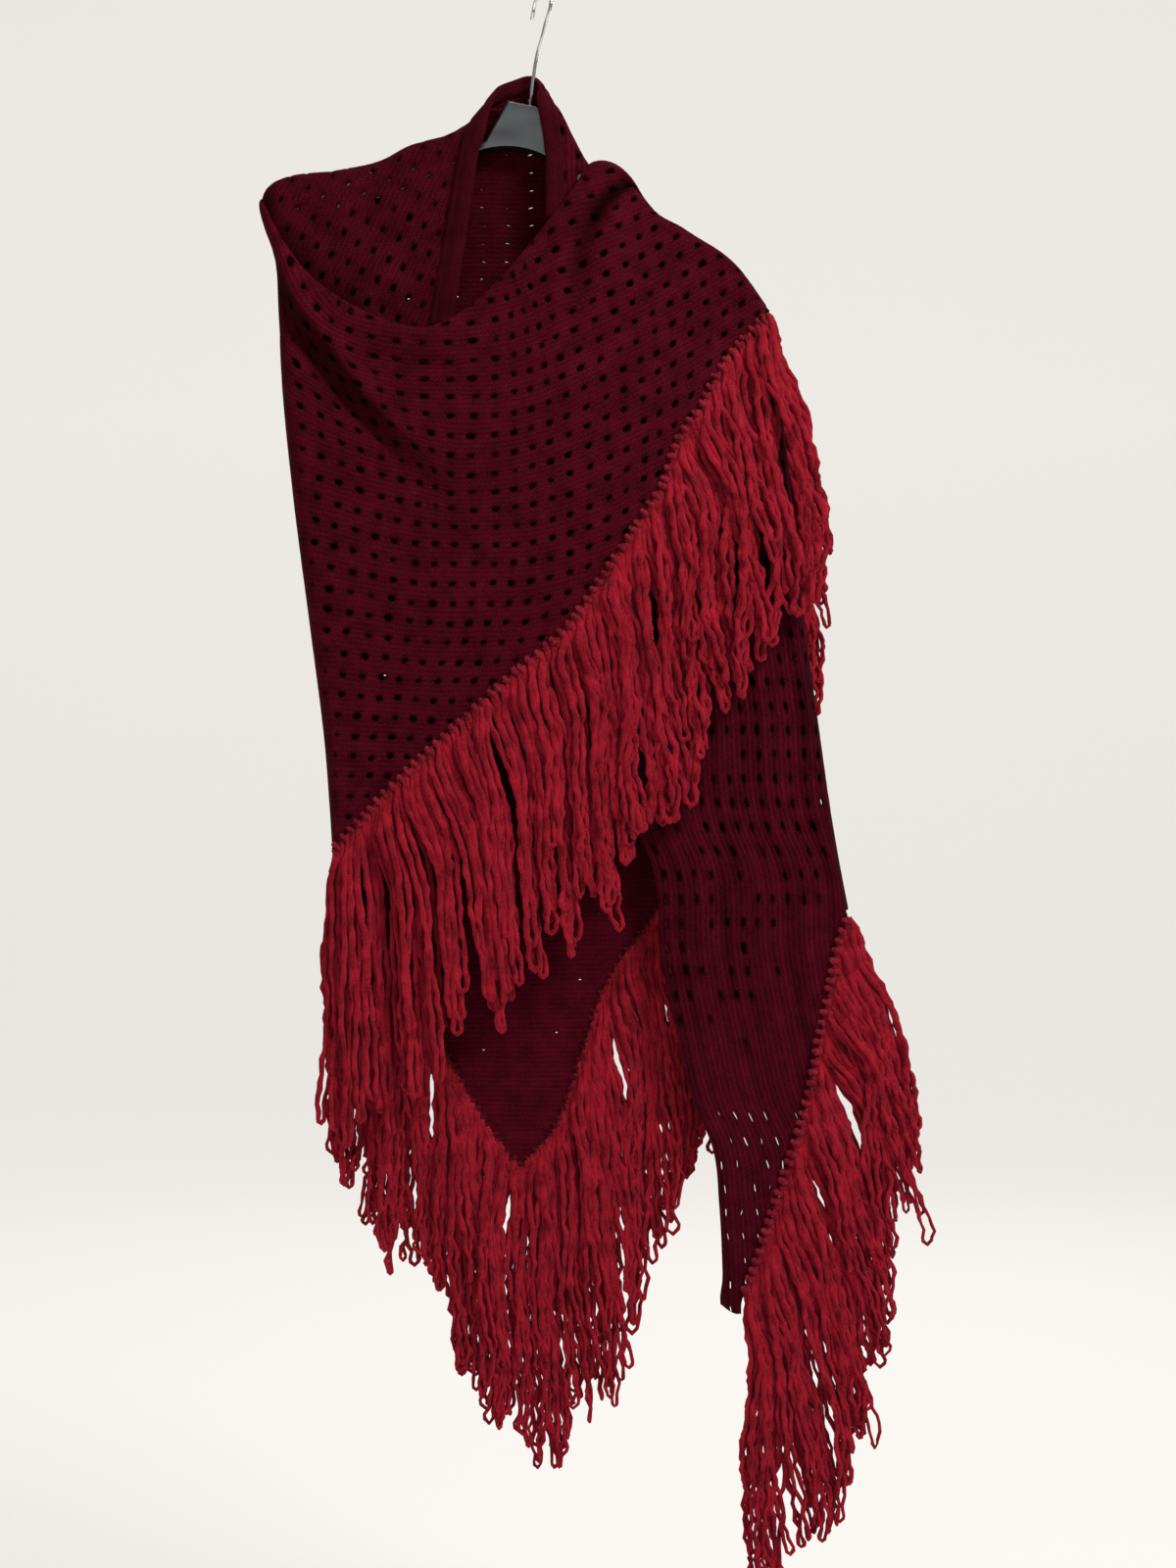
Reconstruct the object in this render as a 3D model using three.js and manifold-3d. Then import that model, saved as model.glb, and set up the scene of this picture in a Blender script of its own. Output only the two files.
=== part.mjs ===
// Large triangular knitted shawl with a looped-yarn fringe, draped over a clothes hanger.
// Millimetres, +Z up, front of the garment faces -Y.
// Origin: the highest inside point of the hook, where a rail or a peg carries it.
import * as THREE from 'three';

// ---------------------------------------------------------------- driving sizes
const CLOTH = 2.5;            // wall of the knitted cloth
const GAP = 0.5;              // gap left between pieces where they are joined
const CORD_R = 3;             // radius of the knotted edging
const FRINGE = 9;             // thickness of the fringe where it hangs
const ROLL_W = 8.5;           // half width of the rolled long edge
const ROLL_T = 3.4;           // half thickness of the rolled long edge
const BODY_T = 12;            // hanger body, front to back
const BODY_TILT = 10.5;       // the body leans this many degrees, right arm down
const SPAN = 203;             // half span of the hanger
const PLATE = [-12.4, -103];  // top middle of the centre plate, x and z
const WIRE_R = 1.7;           // hook wire
const HOOK_R = 19.7;          // hook bend, centre of the wire
const HOOK_LEAN = 6.9;          // lean of the stem, from the plate to the rail
const HOOK_TURN = 65;         // the hook is swivelled this many degrees from the hanger's plane
const RING_LEFT = 12;         // how far in the cloth turns at the left fold
const RING_RIGHT = 11;        // and at the right fold

// ---------------------------------------------------------------- finishes
const knit = (name) => new THREE.MeshStandardMaterial({ name, color: 0x5a1220, roughness: 0.9, metalness: 0 });
const MAT = {
  knit: knit('knit'),
  yarn: new THREE.MeshStandardMaterial({ name: 'fringe', color: 0xa01c2a, roughness: 0.9, metalness: 0 }),
  knots: new THREE.MeshStandardMaterial({ name: 'edging', color: 0x8a1826, roughness: 0.9, metalness: 0 }),
  plastic: new THREE.MeshStandardMaterial({ name: 'plastic', color: 0x17181a, roughness: 0.3, metalness: 0 }),
  steel: new THREE.MeshStandardMaterial({ name: 'steel', color: 0xc9cccf, roughness: 0.2, metalness: 1 }),
};
const group = new THREE.Group();
function put(name, geometry, material) {
  const mesh = new THREE.Mesh(geometry, material);
  mesh.name = name;
  group.add(mesh);
  return mesh;
}

// ---------------------------------------------------------------- curves through tables
// A table is a list of rows; the first column is the place along it.
function column(table, c) {
  const k = table.map((r) => r[0]), w = table.map((r) => r[c]), n = k.length;
  const m = new Array(n).fill(0);
  for (let i = 1; i < n - 1; i++) {
    const a = (w[i] - w[i - 1]) / (k[i] - k[i - 1]), b = (w[i + 1] - w[i]) / (k[i + 1] - k[i]);
    m[i] = a * b <= 0 ? 0 : 2 * a * b / (a + b) * 0.5 + (a + b) / 4;
  }
  m[0] = (w[1] - w[0]) / (k[1] - k[0]);
  m[n - 1] = (w[n - 1] - w[n - 2]) / (k[n - 1] - k[n - 2]);
  return (x) => {
    if (x <= k[0]) return w[0] + m[0] * (x - k[0]);
    if (x >= k[n - 1]) return w[n - 1] + m[n - 1] * (x - k[n - 1]);
    let i = 0;
    while (x > k[i + 1]) i++;
    const h = k[i + 1] - k[i], t = (x - k[i]) / h;
    return w[i] * (1 + 2 * t) * (1 - t) ** 2 + m[i] * h * t * (1 - t) ** 2
      + w[i + 1] * t * t * (3 - 2 * t) + m[i + 1] * h * t * t * (t - 1);
  };
}
// A path is a list of [x, z]; it comes back as a function of its length from 0 to 1.
function path(points) {
  const d = [0];
  for (let i = 1; i < points.length; i++)
    d.push(d[i - 1] + Math.hypot(points[i][0] - points[i - 1][0], points[i][1] - points[i - 1][1]));
  const L = d[d.length - 1];
  const t = points.map((p, i) => [d[i] / L, ...p]);
  const cols = points[0].map((_, i) => column(t, i + 1));
  const f = (a) => cols.map((c) => c(a));
  f.length_mm = L;
  return f;
}
const mix = (a, b, t) => a + (b - a) * t;
const smooth = (a, b, x) => { const t = Math.min(1, Math.max(0, (x - a) / (b - a))); return t * t * (3 - 2 * t); };
// A grid of depths: named columns across (x), a row for each height (z).
function relief(xs, rows) {
  const cols = xs.map((_, i) => column(rows, i + 1));
  return (x, z) => {
    const h = Math.min(rows[rows.length - 1][0], Math.max(rows[0][0], z));
    const c = column(xs.map((v, i) => [v, cols[i](h)]), 1);
    return c(Math.min(xs[xs.length - 1], Math.max(xs[0], x)));
  };
}

// ---------------------------------------------------------------- solids
// A wall of even thickness on the surface f(a, b), a and b from 0 to 1.
function wall(name, na, nb, f, thick, material, as = null, bs = null) {
  const A = as || Array.from({ length: na + 1 }, (_, i) => i / na);
  const B = bs || Array.from({ length: nb + 1 }, (_, j) => j / nb);
  const n = A.length, m = B.length;
  const P = A.map((a) => B.map((b) => new THREE.Vector3(...f(a, b))));
  const at = (i, j) => P[Math.min(n - 1, Math.max(0, i))][Math.min(m - 1, Math.max(0, j))];
  const pos = [], idx = [];
  const N = P.map((row, i) => row.map((p, j) => {
    const da = at(i + 1, j).clone().sub(at(i - 1, j)), db = at(i, j + 1).clone().sub(at(i, j - 1));
    return da.cross(db).normalize();
  }));
  for (const s of [0.5, -0.5])
    for (let i = 0; i < n; i++) for (let j = 0; j < m; j++) {
      const t = typeof thick === 'function' ? thick(A[i], B[j]) : thick;
      const p = P[i][j].clone().addScaledVector(N[i][j], s * t);
      pos.push(p.x, p.y, p.z);
    }
  const id = (s, i, j) => s * n * m + i * m + j;
  for (let i = 0; i < n - 1; i++) for (let j = 0; j < m - 1; j++) {
    idx.push(id(0, i, j), id(0, i + 1, j), id(0, i + 1, j + 1), id(0, i, j), id(0, i + 1, j + 1), id(0, i, j + 1));
    idx.push(id(1, i, j), id(1, i + 1, j + 1), id(1, i + 1, j), id(1, i, j), id(1, i, j + 1), id(1, i + 1, j + 1));
  }
  const rim = [];
  for (let i = 0; i < n - 1; i++) rim.push([[i, 0], [i + 1, 0]]);
  for (let j = 0; j < m - 1; j++) rim.push([[n - 1, j], [n - 1, j + 1]]);
  for (let i = n - 1; i > 0; i--) rim.push([[i, m - 1], [i - 1, m - 1]]);
  for (let j = m - 1; j > 0; j--) rim.push([[0, j], [0, j - 1]]);
  for (const [[i, j], [k, l]] of rim)
    idx.push(id(0, i, j), id(1, i, j), id(1, k, l), id(0, i, j), id(1, k, l), id(0, k, l));
  return put(name, closed(pos, idx), material);
}
function closed(pos, idx) {
  let v = 0;
  const p = (i) => new THREE.Vector3(pos[3 * i], pos[3 * i + 1], pos[3 * i + 2]);
  for (let i = 0; i < idx.length; i += 3) v += p(idx[i]).dot(p(idx[i + 1]).cross(p(idx[i + 2])));
  if (v < 0) for (let i = 0; i < idx.length; i += 3) [idx[i + 1], idx[i + 2]] = [idx[i + 2], idx[i + 1]];
  const g = new THREE.BufferGeometry();
  g.setAttribute('position', new THREE.Float32BufferAttribute(pos, 3));
  g.setIndex(idx);
  return g;
}
// A rod of any section along a list of points, with a width direction for each point.
function rod(name, pts, wide, rw, rt, sides, material) {
  const n = pts.length, pos = [], idx = [];
  for (let i = 0; i < n; i++) {
    const t = pts[Math.min(n - 1, i + 1)].clone().sub(pts[Math.max(0, i - 1)]).normalize();
    const w = wide[i].clone().addScaledVector(t, -wide[i].dot(t)).normalize();
    const b = t.clone().cross(w);
    for (let k = 0; k < sides; k++) {
      const a = 2 * Math.PI * k / sides;
      const p = pts[i].clone().addScaledVector(w, rw * Math.cos(a)).addScaledVector(b, rt * Math.sin(a));
      pos.push(p.x, p.y, p.z);
    }
  }
  for (let i = 0; i < n - 1; i++) for (let k = 0; k < sides; k++) {
    const a = i * sides + k, b = i * sides + (k + 1) % sides, c = a + sides, d = b + sides;
    idx.push(a, b, d, a, d, c);
  }
  for (let k = 1; k < sides - 1; k++) {
    idx.push(0, k + 1, k);
    const e = (n - 1) * sides;
    idx.push(e, e + k, e + k + 1);
  }
  return put(name, closed(pos, idx), material);
}

// ---------------------------------------------------------------- outlines, x and z
const LEFT_FOLD = [      // z, x of the left silhouette
  [-182.2, -253.9], [-239.4, -241.6], [-301, -237.2], [-362.6, -233.6], [-450.6, -224.8],
  [-573.8, -209], [-679.4, -195.8], [-776.2, -188.8],
].reverse();
const RIGHT_FOLD = [     // z, x of the right silhouette
  [-248.2, 172.9], [-301, 199.3], [-380.2, 212.5], [-468.2, 222.2], [-565, 232.8],
  [-661.8, 245.1], [-758.6, 259.2], [-833.4, 273.2],
].reverse();
const COWL = [           // x, z of the free top line of the front
  [-253, -189.2], [-239.8, -218.2], [-219.6, -248.2], [-193.2, -271.9], [-161.5, -290.4], [-128, -302.7], [-101.6, -303.6], [-73.5, -290.4],
  [-44.4, -265.8], [-18, -235.8], [8.4, -202.4], [28.6, -176], [40.9, -158.4],
];
const RIDGE = [          // x, z where the front turns over the right shoulder
  [40.9, -158.4], [56.8, -156.6], [78.8, -172.5], [92, -193.6], [127.2, -218.2], [175.6, -253.4], [201.1, -288.6],
];
const HEM_FRONT = [
  [-188.8, -772.6], [-122.8, -702.2], [-71.7, -654.7], [-27.7, -614.2], [15.4, -578.2], [52.4, -527.1], [81.4, -483.1], [106.9, -442.6],
  [119.2, -405.7], [136.8, -379.3], [160.6, -336.2], [201.1, -290.4],
];
const HEM_BACK_LEFT = [ [-186.1, -777.9], [-136.8, -865.9], [-85.8, -958.3], [-50.6, -1019.9], [-26, -1054.2] ];
const HEM_BACK_RIGHT = [
  [-16.3, -1054.2], [5.7, -1025.2], [30.4, -962.7], [54.1, -894.1], [92.8, -837.8], [136, -785], [175.6, -758.6], [219.6, -776.2], [260.9, -814.9],
];
const HEM_DROP = [
  [271.5, -832.5], [263.6, -855.4], [257.4, -886.2], [246.8, -939], [232.8, -1008.5], [218.7, -1054.2], [204.6, -1094.7], [191.4, -1137.8], [177.3, -1172.2],
];
const HEM_TAIL = [ [204.6, -301], [209, -380.2], [202.8, -485.8], [190.5, -609], [171.2, -741], [148.3, -842.2] ];
const SHOULDER = [       // x, z of the line over the left arm
  [-249.5, -183.9], [-238.9, -175.1], [-185.2, -163.7], [-143.9, -154], [-124.5, -143.4], [-79.6, -128.5], [-65.6, -119.7],
];
const DROP_TOP = [ [9.2, -143.4], [39.2, -163.7], [92, -199.8], [134.2, -230.6], [168.5, -257.8] ];

// ---------------------------------------------------------------- depths, y
const frontDepth = relief([-260, -189.6, -119.2, -48.8, 21.6, 92, 162.4, 215.2], [
  [-151.4, -10, -20, -30, -30, -18, -15, -15, -15],
  [-221.8, -13, -34, -44, -42, -30, -20, -15, -15],
  [-292.2, -17, -36, -48, -48, -42, -30, -20, -16],
  [-362.6, -19, -34, -46, -50, -48, -40, -31, -25],
  [-468.2, -21, -32, -42, -48, -48, -44, -38, -33],
  [-573.8, -22, -30, -38, -44, -46, -44, -40, -37],
  [-679.4, -22, -28, -34, -38, -42, -42, -40, -37],
  [-785, -22, -25, -30, -34, -38, -40, -40, -37],
].reverse());
const FLUTE_PITCH = 42, FLUTE_DEEP = 6.5;
function backDepth(x, z) {
  const low = smooth(-180, -700, z);
  const flute = FLUTE_DEEP * smooth(39.2, 118.4, x) * smooth(266.2, 246, x) * smooth(-230, -600, z);
  const fold = 3 * low * smooth(74.4, 4, x) * smooth(-224.8, -154.4, x);
  return 14 + 3 * low + flute * Math.sin(2 * Math.PI * x / FLUTE_PITCH)
    + fold * Math.sin(2 * Math.PI * (x + 0.12 * z) / 92);
}
const dropDepth = column([[-1189.8, -17], [-802.6, -18], [-538.6, -17], [-362.6, -14], [-248.2, -10.5], [-142.6, -9.5]], 1);
const tailDepth = column([[-855.4, 35], [-538.6, 36], [-309.8, 30], [-239.4, 22], [-142.6, 19]], 1);
const shoulderDepth = column([[-389, -17], [-292.2, -15], [-221.8, -11], [-177.8, -9.5], [-107.4, -9.5]], 1);
const leftFoldX = column(LEFT_FOLD, 1), rightFoldX = column(RIGHT_FOLD, 1);
const topOf = (points) => { const c = column(points.map((p) => [p[0], p[1]]), 1); return c; };
const frontTop = topOf([...COWL, ...RIDGE.slice(1)]);
const frontHem = topOf(HEM_FRONT);
const shoulderTop = topOf(SHOULDER), dropTop = topOf(DROP_TOP);

// ---------------------------------------------------------------- hanger
{
  const q = BODY_TILT * Math.PI / 180;
  const s = new THREE.Shape();
  // x and z from the top middle of the plate, in the body's own frame
  const arm = [[33.5, -42], [110, -83], [178, -114]], under = [[187, -143], [105, -107], [40, -76]];
  s.moveTo(-20, 0); s.lineTo(20, 0);
  for (const [x, z] of arm) s.lineTo(x, z);
  s.quadraticCurveTo(SPAN - 2, -123, SPAN, -138); s.quadraticCurveTo(SPAN - 2, -148, ...under[0]);
  for (const [x, z] of under.slice(1)) s.lineTo(x, z);
  s.quadraticCurveTo(0, -46, -under[2][0], under[2][1]);
  s.lineTo(-under[1][0], under[1][1]); s.lineTo(-under[0][0], under[0][1]);
  s.quadraticCurveTo(-SPAN + 2, -148, -SPAN, -138); s.quadraticCurveTo(-SPAN + 2, -123, -arm[2][0], arm[2][1]);
  s.lineTo(-arm[1][0], arm[1][1]); s.lineTo(-arm[0][0], arm[0][1]); s.closePath();
  const g = new THREE.ExtrudeGeometry(s, { depth: BODY_T - 4, bevelEnabled: true, bevelThickness: 2, bevelSize: 2, bevelOffset: -2, bevelSegments: 2, curveSegments: 5 });
  g.rotateX(Math.PI / 2);                       // outline into the x-z plane
  g.translate(0, (BODY_T - 4) / 2, 0);
  const cut = await hollow(g);
  cut.rotateY(q);
  cut.translate(PLATE[0], 0, PLATE[1]);
  put('hanger_body', cut, MAT.plastic);
}
// blind bore for the hook's stem, with clearance all round
async function hollow(g) {
  const { default: Module } = await import('manifold-3d');
  const { mergeVertices } = await import('three/addons/utils/BufferGeometryUtils.js');
  const wasm = await Module(); wasm.setup();
  const solid = (geo) => {
    geo = geo.index ? geo : geo.clone();
    geo.deleteAttribute('normal'); geo.deleteAttribute('uv');
    geo = mergeVertices(geo, 1e-4);
    return new wasm.Manifold(new wasm.Mesh({ numProp: 3, vertProperties: new Float32Array(geo.attributes.position.array), triVerts: new Uint32Array(geo.index.array) }));
  };
  const lean = (BODY_TILT - HOOK_LEAN) * Math.PI / 180;
  const bore = new THREE.CylinderGeometry(WIRE_R + 0.35, WIRE_R + 0.35, 60, 12);
  bore.rotateX(Math.PI / 2);
  bore.translate(0, 0, 30 - 22.4);
  bore.rotateY(-lean);
  const out = solid(g).subtract(solid(bore)).getMesh();
  const r = new THREE.BufferGeometry();
  r.setAttribute('position', new THREE.Float32BufferAttribute(Array.from(out.vertProperties), 3));
  r.setIndex(Array.from(out.triVerts));
  return r;
}
{
  const lean = HOOK_LEAN * Math.PI / 180, turn = HOOK_TURN * Math.PI / 180;
  const up = new THREE.Vector3(Math.sin(lean), 0, Math.cos(lean));
  const across = new THREE.Vector3(Math.cos(lean), 0, -Math.sin(lean)).multiplyScalar(Math.cos(turn))
    .add(new THREE.Vector3(0, -Math.sin(turn), 0));
  const centre = up.clone().multiplyScalar(-(HOOK_R - WIRE_R));
  const foot = -(new THREE.Vector2(PLATE[0], PLATE[1]).length()) + (HOOK_R - WIRE_R);  // plate top below the bend's centre
  const pts = [];
  const add = (h, d) => pts.push(centre.clone().addScaledVector(across, h).addScaledVector(up, d));
  // h across the hook's plane, d above the bend's centre
  for (const [h, d] of [[0, foot - 21.5], [0, foot - 8], [0, foot + 8], [0, foot + 22], [0.4, foot + 34], [3.2, foot + 46], [8.6, foot + 57]]) add(h, d);
  for (let a = -42; a <= 186; a += 12) add(HOOK_R * Math.cos(a * Math.PI / 180), HOOK_R * Math.sin(a * Math.PI / 180));
  add(-HOOK_R - 1.6, -6);
  const curve = new THREE.CatmullRomCurve3(pts, false, 'centripetal');
  const sec = new THREE.Shape();
  for (let k = 0; k < 10; k++) {
    const a = 2 * Math.PI * k / 10;
    k ? sec.lineTo(WIRE_R * Math.cos(a), WIRE_R * Math.sin(a)) : sec.moveTo(WIRE_R, 0);
  }
  sec.closePath();
  put('hanger_hook', new THREE.ExtrudeGeometry(sec, { steps: 60, extrudePath: curve, bevelEnabled: false }), MAT.steel);
}

// ---------------------------------------------------------------- cloth
const RING_FULL = 0.96 * Math.PI;   // how far a wall follows a fold before the next one takes over
const TURN_Z = 7;                   // a turned edge drops this far each side of its top line
const ARM_Z = 10.5;                 // and this far where it goes over an arm of the hanger
const SEAM = CORD_R + GAP;          // from the middle of the edging to the cloth or the fringe
const under = ([x, z]) => [x, z - ARM_Z - 2.6];   // just below the walls that go over the arms
const BACK_TOP = [
  ...SHOULDER.map(under), [-55, -122.3], [-38.3, -107.4], [-9.2, -95.9], [8.4, -119.7], [18, -170.7],
  ...DROP_TOP.slice(1).map(under), [183.5, -286], [276.8, -340.6],
];
const backTop = column(BACK_TOP, 1);
const BACK_HEM = [[-198.4, -755], ...HEM_BACK_LEFT.slice(0, -1), [-21.6, -1045.4], ...HEM_BACK_RIGHT.slice(1), [285.6, -837.8]];
const backHem = column(BACK_HEM, 1);
// height of a cloth edge that keeps clear of an edging laid along h
function above(h, x) {
  const s = Math.max(Math.abs(h(x + 3) - h(x)), Math.abs(h(x) - h(x - 3))) / 3;
  return h(x) + (SEAM + 0.4) * Math.sqrt(1 + s * s);
}
const foldRightTop = -268.4, foldRightEnd = -825.4;
// back: from just behind the left fold, across, and round the right fold to the front
{
  const As = [];
  for (let i = 0; i <= 32; i++) { const t = i / 32; As.push(0.9 * (t < 0.5 ? t * 1.16 : 0.58 + (t - 0.5) * 0.84)); }
  As.push(0.925, 0.95, 0.975, 1);
  wall('cloth_back', 0, 15, (a, b) => {
    const q = Math.min(1, a / 0.9);
    let x = mix(-238.9, 255.6, q), z = 0;
    for (let k = 0; k < 12; k++) {
      z = mix(backTop(x), above(backHem, x), b);
      const l = leftFoldX(Math.max(z, -776.2)) + RING_LEFT + 0.6;
      const r = rightFoldX(Math.min(foldRightTop, Math.max(foldRightEnd, z))) - RING_RIGHT;
      x = mix(l, r, q);
    }
    if (a <= 0.9) return [x, backDepth(x, z), z];
    const w = Math.PI * (1 - (a - 0.9) / 0.1);
    const yb = backDepth(x, z), yf = dropDepth(z), yc = (yb + yf) / 2, rd = (yb - yf) / 2;
    return [x + RING_RIGHT * Math.sin(w), yc - rd * Math.cos(w), z];
  }, CLOTH, MAT.knit, As);
}
// front: round the left fold, across, and up to the right shoulder
function foldLeft(a, z, yFront) {    // a from 0 at the back to 1 where the front begins
  const yb = backDepth(leftFoldX(z) + RING_LEFT, z), yc = (yb + yFront) / 2, rd = (yb - yFront) / 2;
  const q = RING_FULL * (1 - a);
  return [leftFoldX(z) + RING_LEFT * (1 - Math.sin(q)), yc - rd * Math.cos(q)];
}
const FRONT_Z0 = -755;
const FOLD_TOP = column([[0, -198.9], [0.5, -191.8], [0.75, -214.7], [1, -248.2]], 1);   // round the left fold, back to front
const FRONT_Z1 = -248.2;
{
  const top = (x) => {
    const s = (frontTop(x + 2) - frontTop(x - 2)) / 4;
    return frontTop(x) - TURN_Z - 1 - 1.7 * Math.sqrt(1 + s * s) * smooth(-119.2, -198.4, x) - 2.6;
  };
  const hem = (x) => above(frontHem, x);
  const As = [0, 0.03, 0.06, 0.09, 0.12];
  for (let i = 1; i <= 24; i++) As.push(0.12 + 0.88 * i / 24);
  wall('cloth_front', 0, 13, (a, b) => {
    if (a <= 0.12) {
      const k = a / 0.12, z = mix(FOLD_TOP(k), FRONT_Z0, b);
      const [x, y] = foldLeft(k, z, frontDepth(leftFoldX(z) + RING_LEFT, z));
      return [x, y, z];
    }
    const q = (a - 0.12) / 0.88;
    const t0 = leftFoldX(FRONT_Z1) + RING_LEFT, h0 = leftFoldX(FRONT_Z0) + RING_LEFT;
    const xt = mix(t0, 192.3, q), xh = mix(h0, 192.3, q);
    const z = mix(mix(FRONT_Z1, Math.min(FRONT_Z1 + 400 * q, top(xt)), smooth(0, 0.04, q)), hem(xh), b);
    const bend = leftFoldX(Math.min(FRONT_Z1, Math.max(FRONT_Z0, z))) + RING_LEFT - mix(t0, h0, b);
    const x = mix(xt, xh, b) + bend * (1 - q);
    return [x, frontDepth(x, z), z];
  }, CLOTH, MAT.knit, As);
}
// A wall that starts at a front edge, turns over a top line and goes down behind.
// top, front, behind: functions of x; side(a, s): x and z of the hanging part, s from 0 to 1.
function turned(name, x0, x1, na, nb, drop, top, front, behind, low, material) {
  const Bs = [0, 0.05, 0.1, 0.15, 0.2];
  for (let i = 1; i <= nb; i++) Bs.push(0.2 + 0.8 * i / nb);
  return wall(name, na, 0, (a, b) => {
    const x = mix(x0, x1, a), zt = top(x);
    if (b <= 0.2) {
      const q = Math.PI * b / 0.2, yc = (front(x) + behind(x)) / 2, rd = (behind(x) - front(x)) / 2;
      return [x, yc - rd * Math.cos(q), zt - drop + drop * Math.sin(q)];
    }
    return low(a, (b - 0.2) / 0.8, x, zt - drop);
  }, CLOTH, material, null, Bs);
}
// the turned-in top edge of the front, from the left fold to the right shoulder
const cowlInside = (x, z) => Math.min(-14.8, frontDepth(x, z) + 10 - 5 * smooth(-31.2, 12.8, x));
turned('cloth_cowl', -232.8, 33.9, 20, 2, TURN_Z, frontTop,
  (x) => frontDepth(x, frontTop(x) - TURN_Z), (x) => cowlInside(x, frontTop(x) - TURN_Z),
  (a, s, x, z) => [x, cowlInside(x, z), z - s * (6 + 40 * Math.sin(Math.PI * a) ** 0.7)], MAT.knit);
// the tail, over the right shoulder and down behind
const TAIL_IN = path([ [44.4, -170.7], [74.4, -362.6], [109.6, -582.6], [136, -815.8] ]);
const TAIL_OUT = path([ [195.8, -293.9], [200.2, -380.2], [194, -485.8], [180.8, -609], [162.4, -733.9], [143.9, -821.9] ]);
turned('cloth_tail', 44.4, 192.3, 9, 11, TURN_Z, frontTop,
  (x) => frontDepth(x, frontTop(x) - TURN_Z), (x) => tailDepth(frontTop(x)),
  (a, s, x, z) => {
    const i = TAIL_IN(s), o = TAIL_OUT(s), px = mix(i[0], o[0], a), pz = mix(i[1], o[1], a);
    const k = smooth(0, 0.25, s);
    const X = mix(x, px, k), Zz = mix(z - 260 * s, pz, k);
    return [X, tailDepth(Zz) + 2 * Math.sin(X / 13) * k, Zz];
  }, MAT.knit);
// over the left arm and down inside the cowl
const SHOULDER_LOW = column([[-240.7, -265.8], [-198.4, -337.9], [-154.4, -362.6], [-101.6, -369.6], [-65.6, -364.3]], 1);
{
  const Bs = [0, 0.06, 0.12, 0.18, 0.24];
  for (let i = 1; i <= 7; i++) Bs.push(0.24 + 0.76 * i / 7);
  wall('cloth_shoulder', 12, 0, (a, b) => {
    const x = mix(-239.8, -66.4, a), zt = shoulderTop(x);
    const yf = shoulderDepth(zt - ARM_Z), yb = 14;
    if (b <= 0.24) {
      const q = Math.PI * (1 - b / 0.24);
      return [x, (yb + yf) / 2 - (yb - yf) / 2 * Math.cos(q), zt - ARM_Z + ARM_Z * Math.sin(q)];
    }
    const s = (b - 0.24) / 0.76, z = mix(zt - ARM_Z, SHOULDER_LOW(x), s);
    const X = x + 20 * s * (1 - a) - 6 * s * a;
    return [X, shoulderDepth(z) - 1.2 * Math.sin(X / 11) * smooth(0, 0.3, s), z];
  }, CLOTH, MAT.knit, null, Bs);
}
// the right half, over the right arm and down in front to its point
const DROP_IN = column([
  [-154, 21.6], [-213, 24.2], [-301, 32.1], [-406.6, 44.4], [-538.6, 58.5], [-644.2, 70.8],
  [-758.6, 83.2], [-798.2, 93.7], [-846.6, 102.5], [-890.6, 109.6], [-945.1, 120.1], [-1000.6, 133.3],
  [-1041, 149.2], [-1094.7, 156.2], [-1172.2, 161.5],
].reverse(), 1);
const DROP_OUT = column([
  [-832.5, 265.3], [-855.4, 259.2], [-886.2, 253], [-939, 242.4], [-1008.5, 227.5], [-1054.2, 213.4],
  [-1094.7, 199.3], [-1137.8, 185.2], [-1181, 168.5],
].reverse(), 1);
const DROP_ROWS = [      // place down the piece, z at its inner edge, z at its outer edge
  [0, -164.6, -266.6], [0.1, -239.4, -309.8], [0.2, -327.4, -389], [0.35, -468.2, -490.2], [0.5, -609, -617.8],
  [0.65, -741, -745.4], [0.72, -802.6, -802.6], [0.75, -832.5, -830.7], [0.8, -890.6, -883.5], [0.86, -965.4, -959.2],
  [0.92, -1044.6, -1038.4], [0.97, -1117.6, -1112.3], [1, -1165.1, -1161.6],
];
const dropInZ = column(DROP_ROWS, 1), dropOutZ = column(DROP_ROWS, 2);
{
  const Bs = [0, 0.03, 0.06, 0.09, 0.12];
  for (const [t] of DROP_ROWS.slice(1)) Bs.push(0.12 + 0.88 * t);
  Bs.push(0.12 + 0.88 * 0.275, 0.12 + 0.88 * 0.425, 0.12 + 0.88 * 0.575, 0.12 + 0.88 * 0.89);
  Bs.sort((p, q) => p - q);
  wall('cloth_drop', 8, 0, (a, b) => {
    const xt = mix(21.6, 169.4, a), zt = dropTop(xt);
    if (b <= 0.12) {
      const q = Math.PI * (1 - b / 0.12), yf = dropDepth(zt), yb = 14;
      return [xt, (yb + yf) / 2 - (yb - yf) / 2 * Math.cos(q), zt - ARM_Z + ARM_Z * Math.sin(q)];
    }
    const s = (b - 0.12) / 0.88;
    const zi = dropInZ(s), zo = dropOutZ(s);
    const xi = DROP_IN(zi);
    const xo = zo > -831.2 ? rightFoldX(zo) - RING_RIGHT - 1.4 : DROP_OUT(zo);
    const k = smooth(0, 0.12, s);
    const x = mix(xt, mix(xi, xo, a), k), z = mix(zt - ARM_Z - s * 420, mix(zi, zo, a), k);
    return [x, dropDepth(z) - 1.2 * smooth(-301, -468.2, z) * Math.sin(x / 8), z];
  }, CLOTH, MAT.knit, null, Bs);
}

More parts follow.
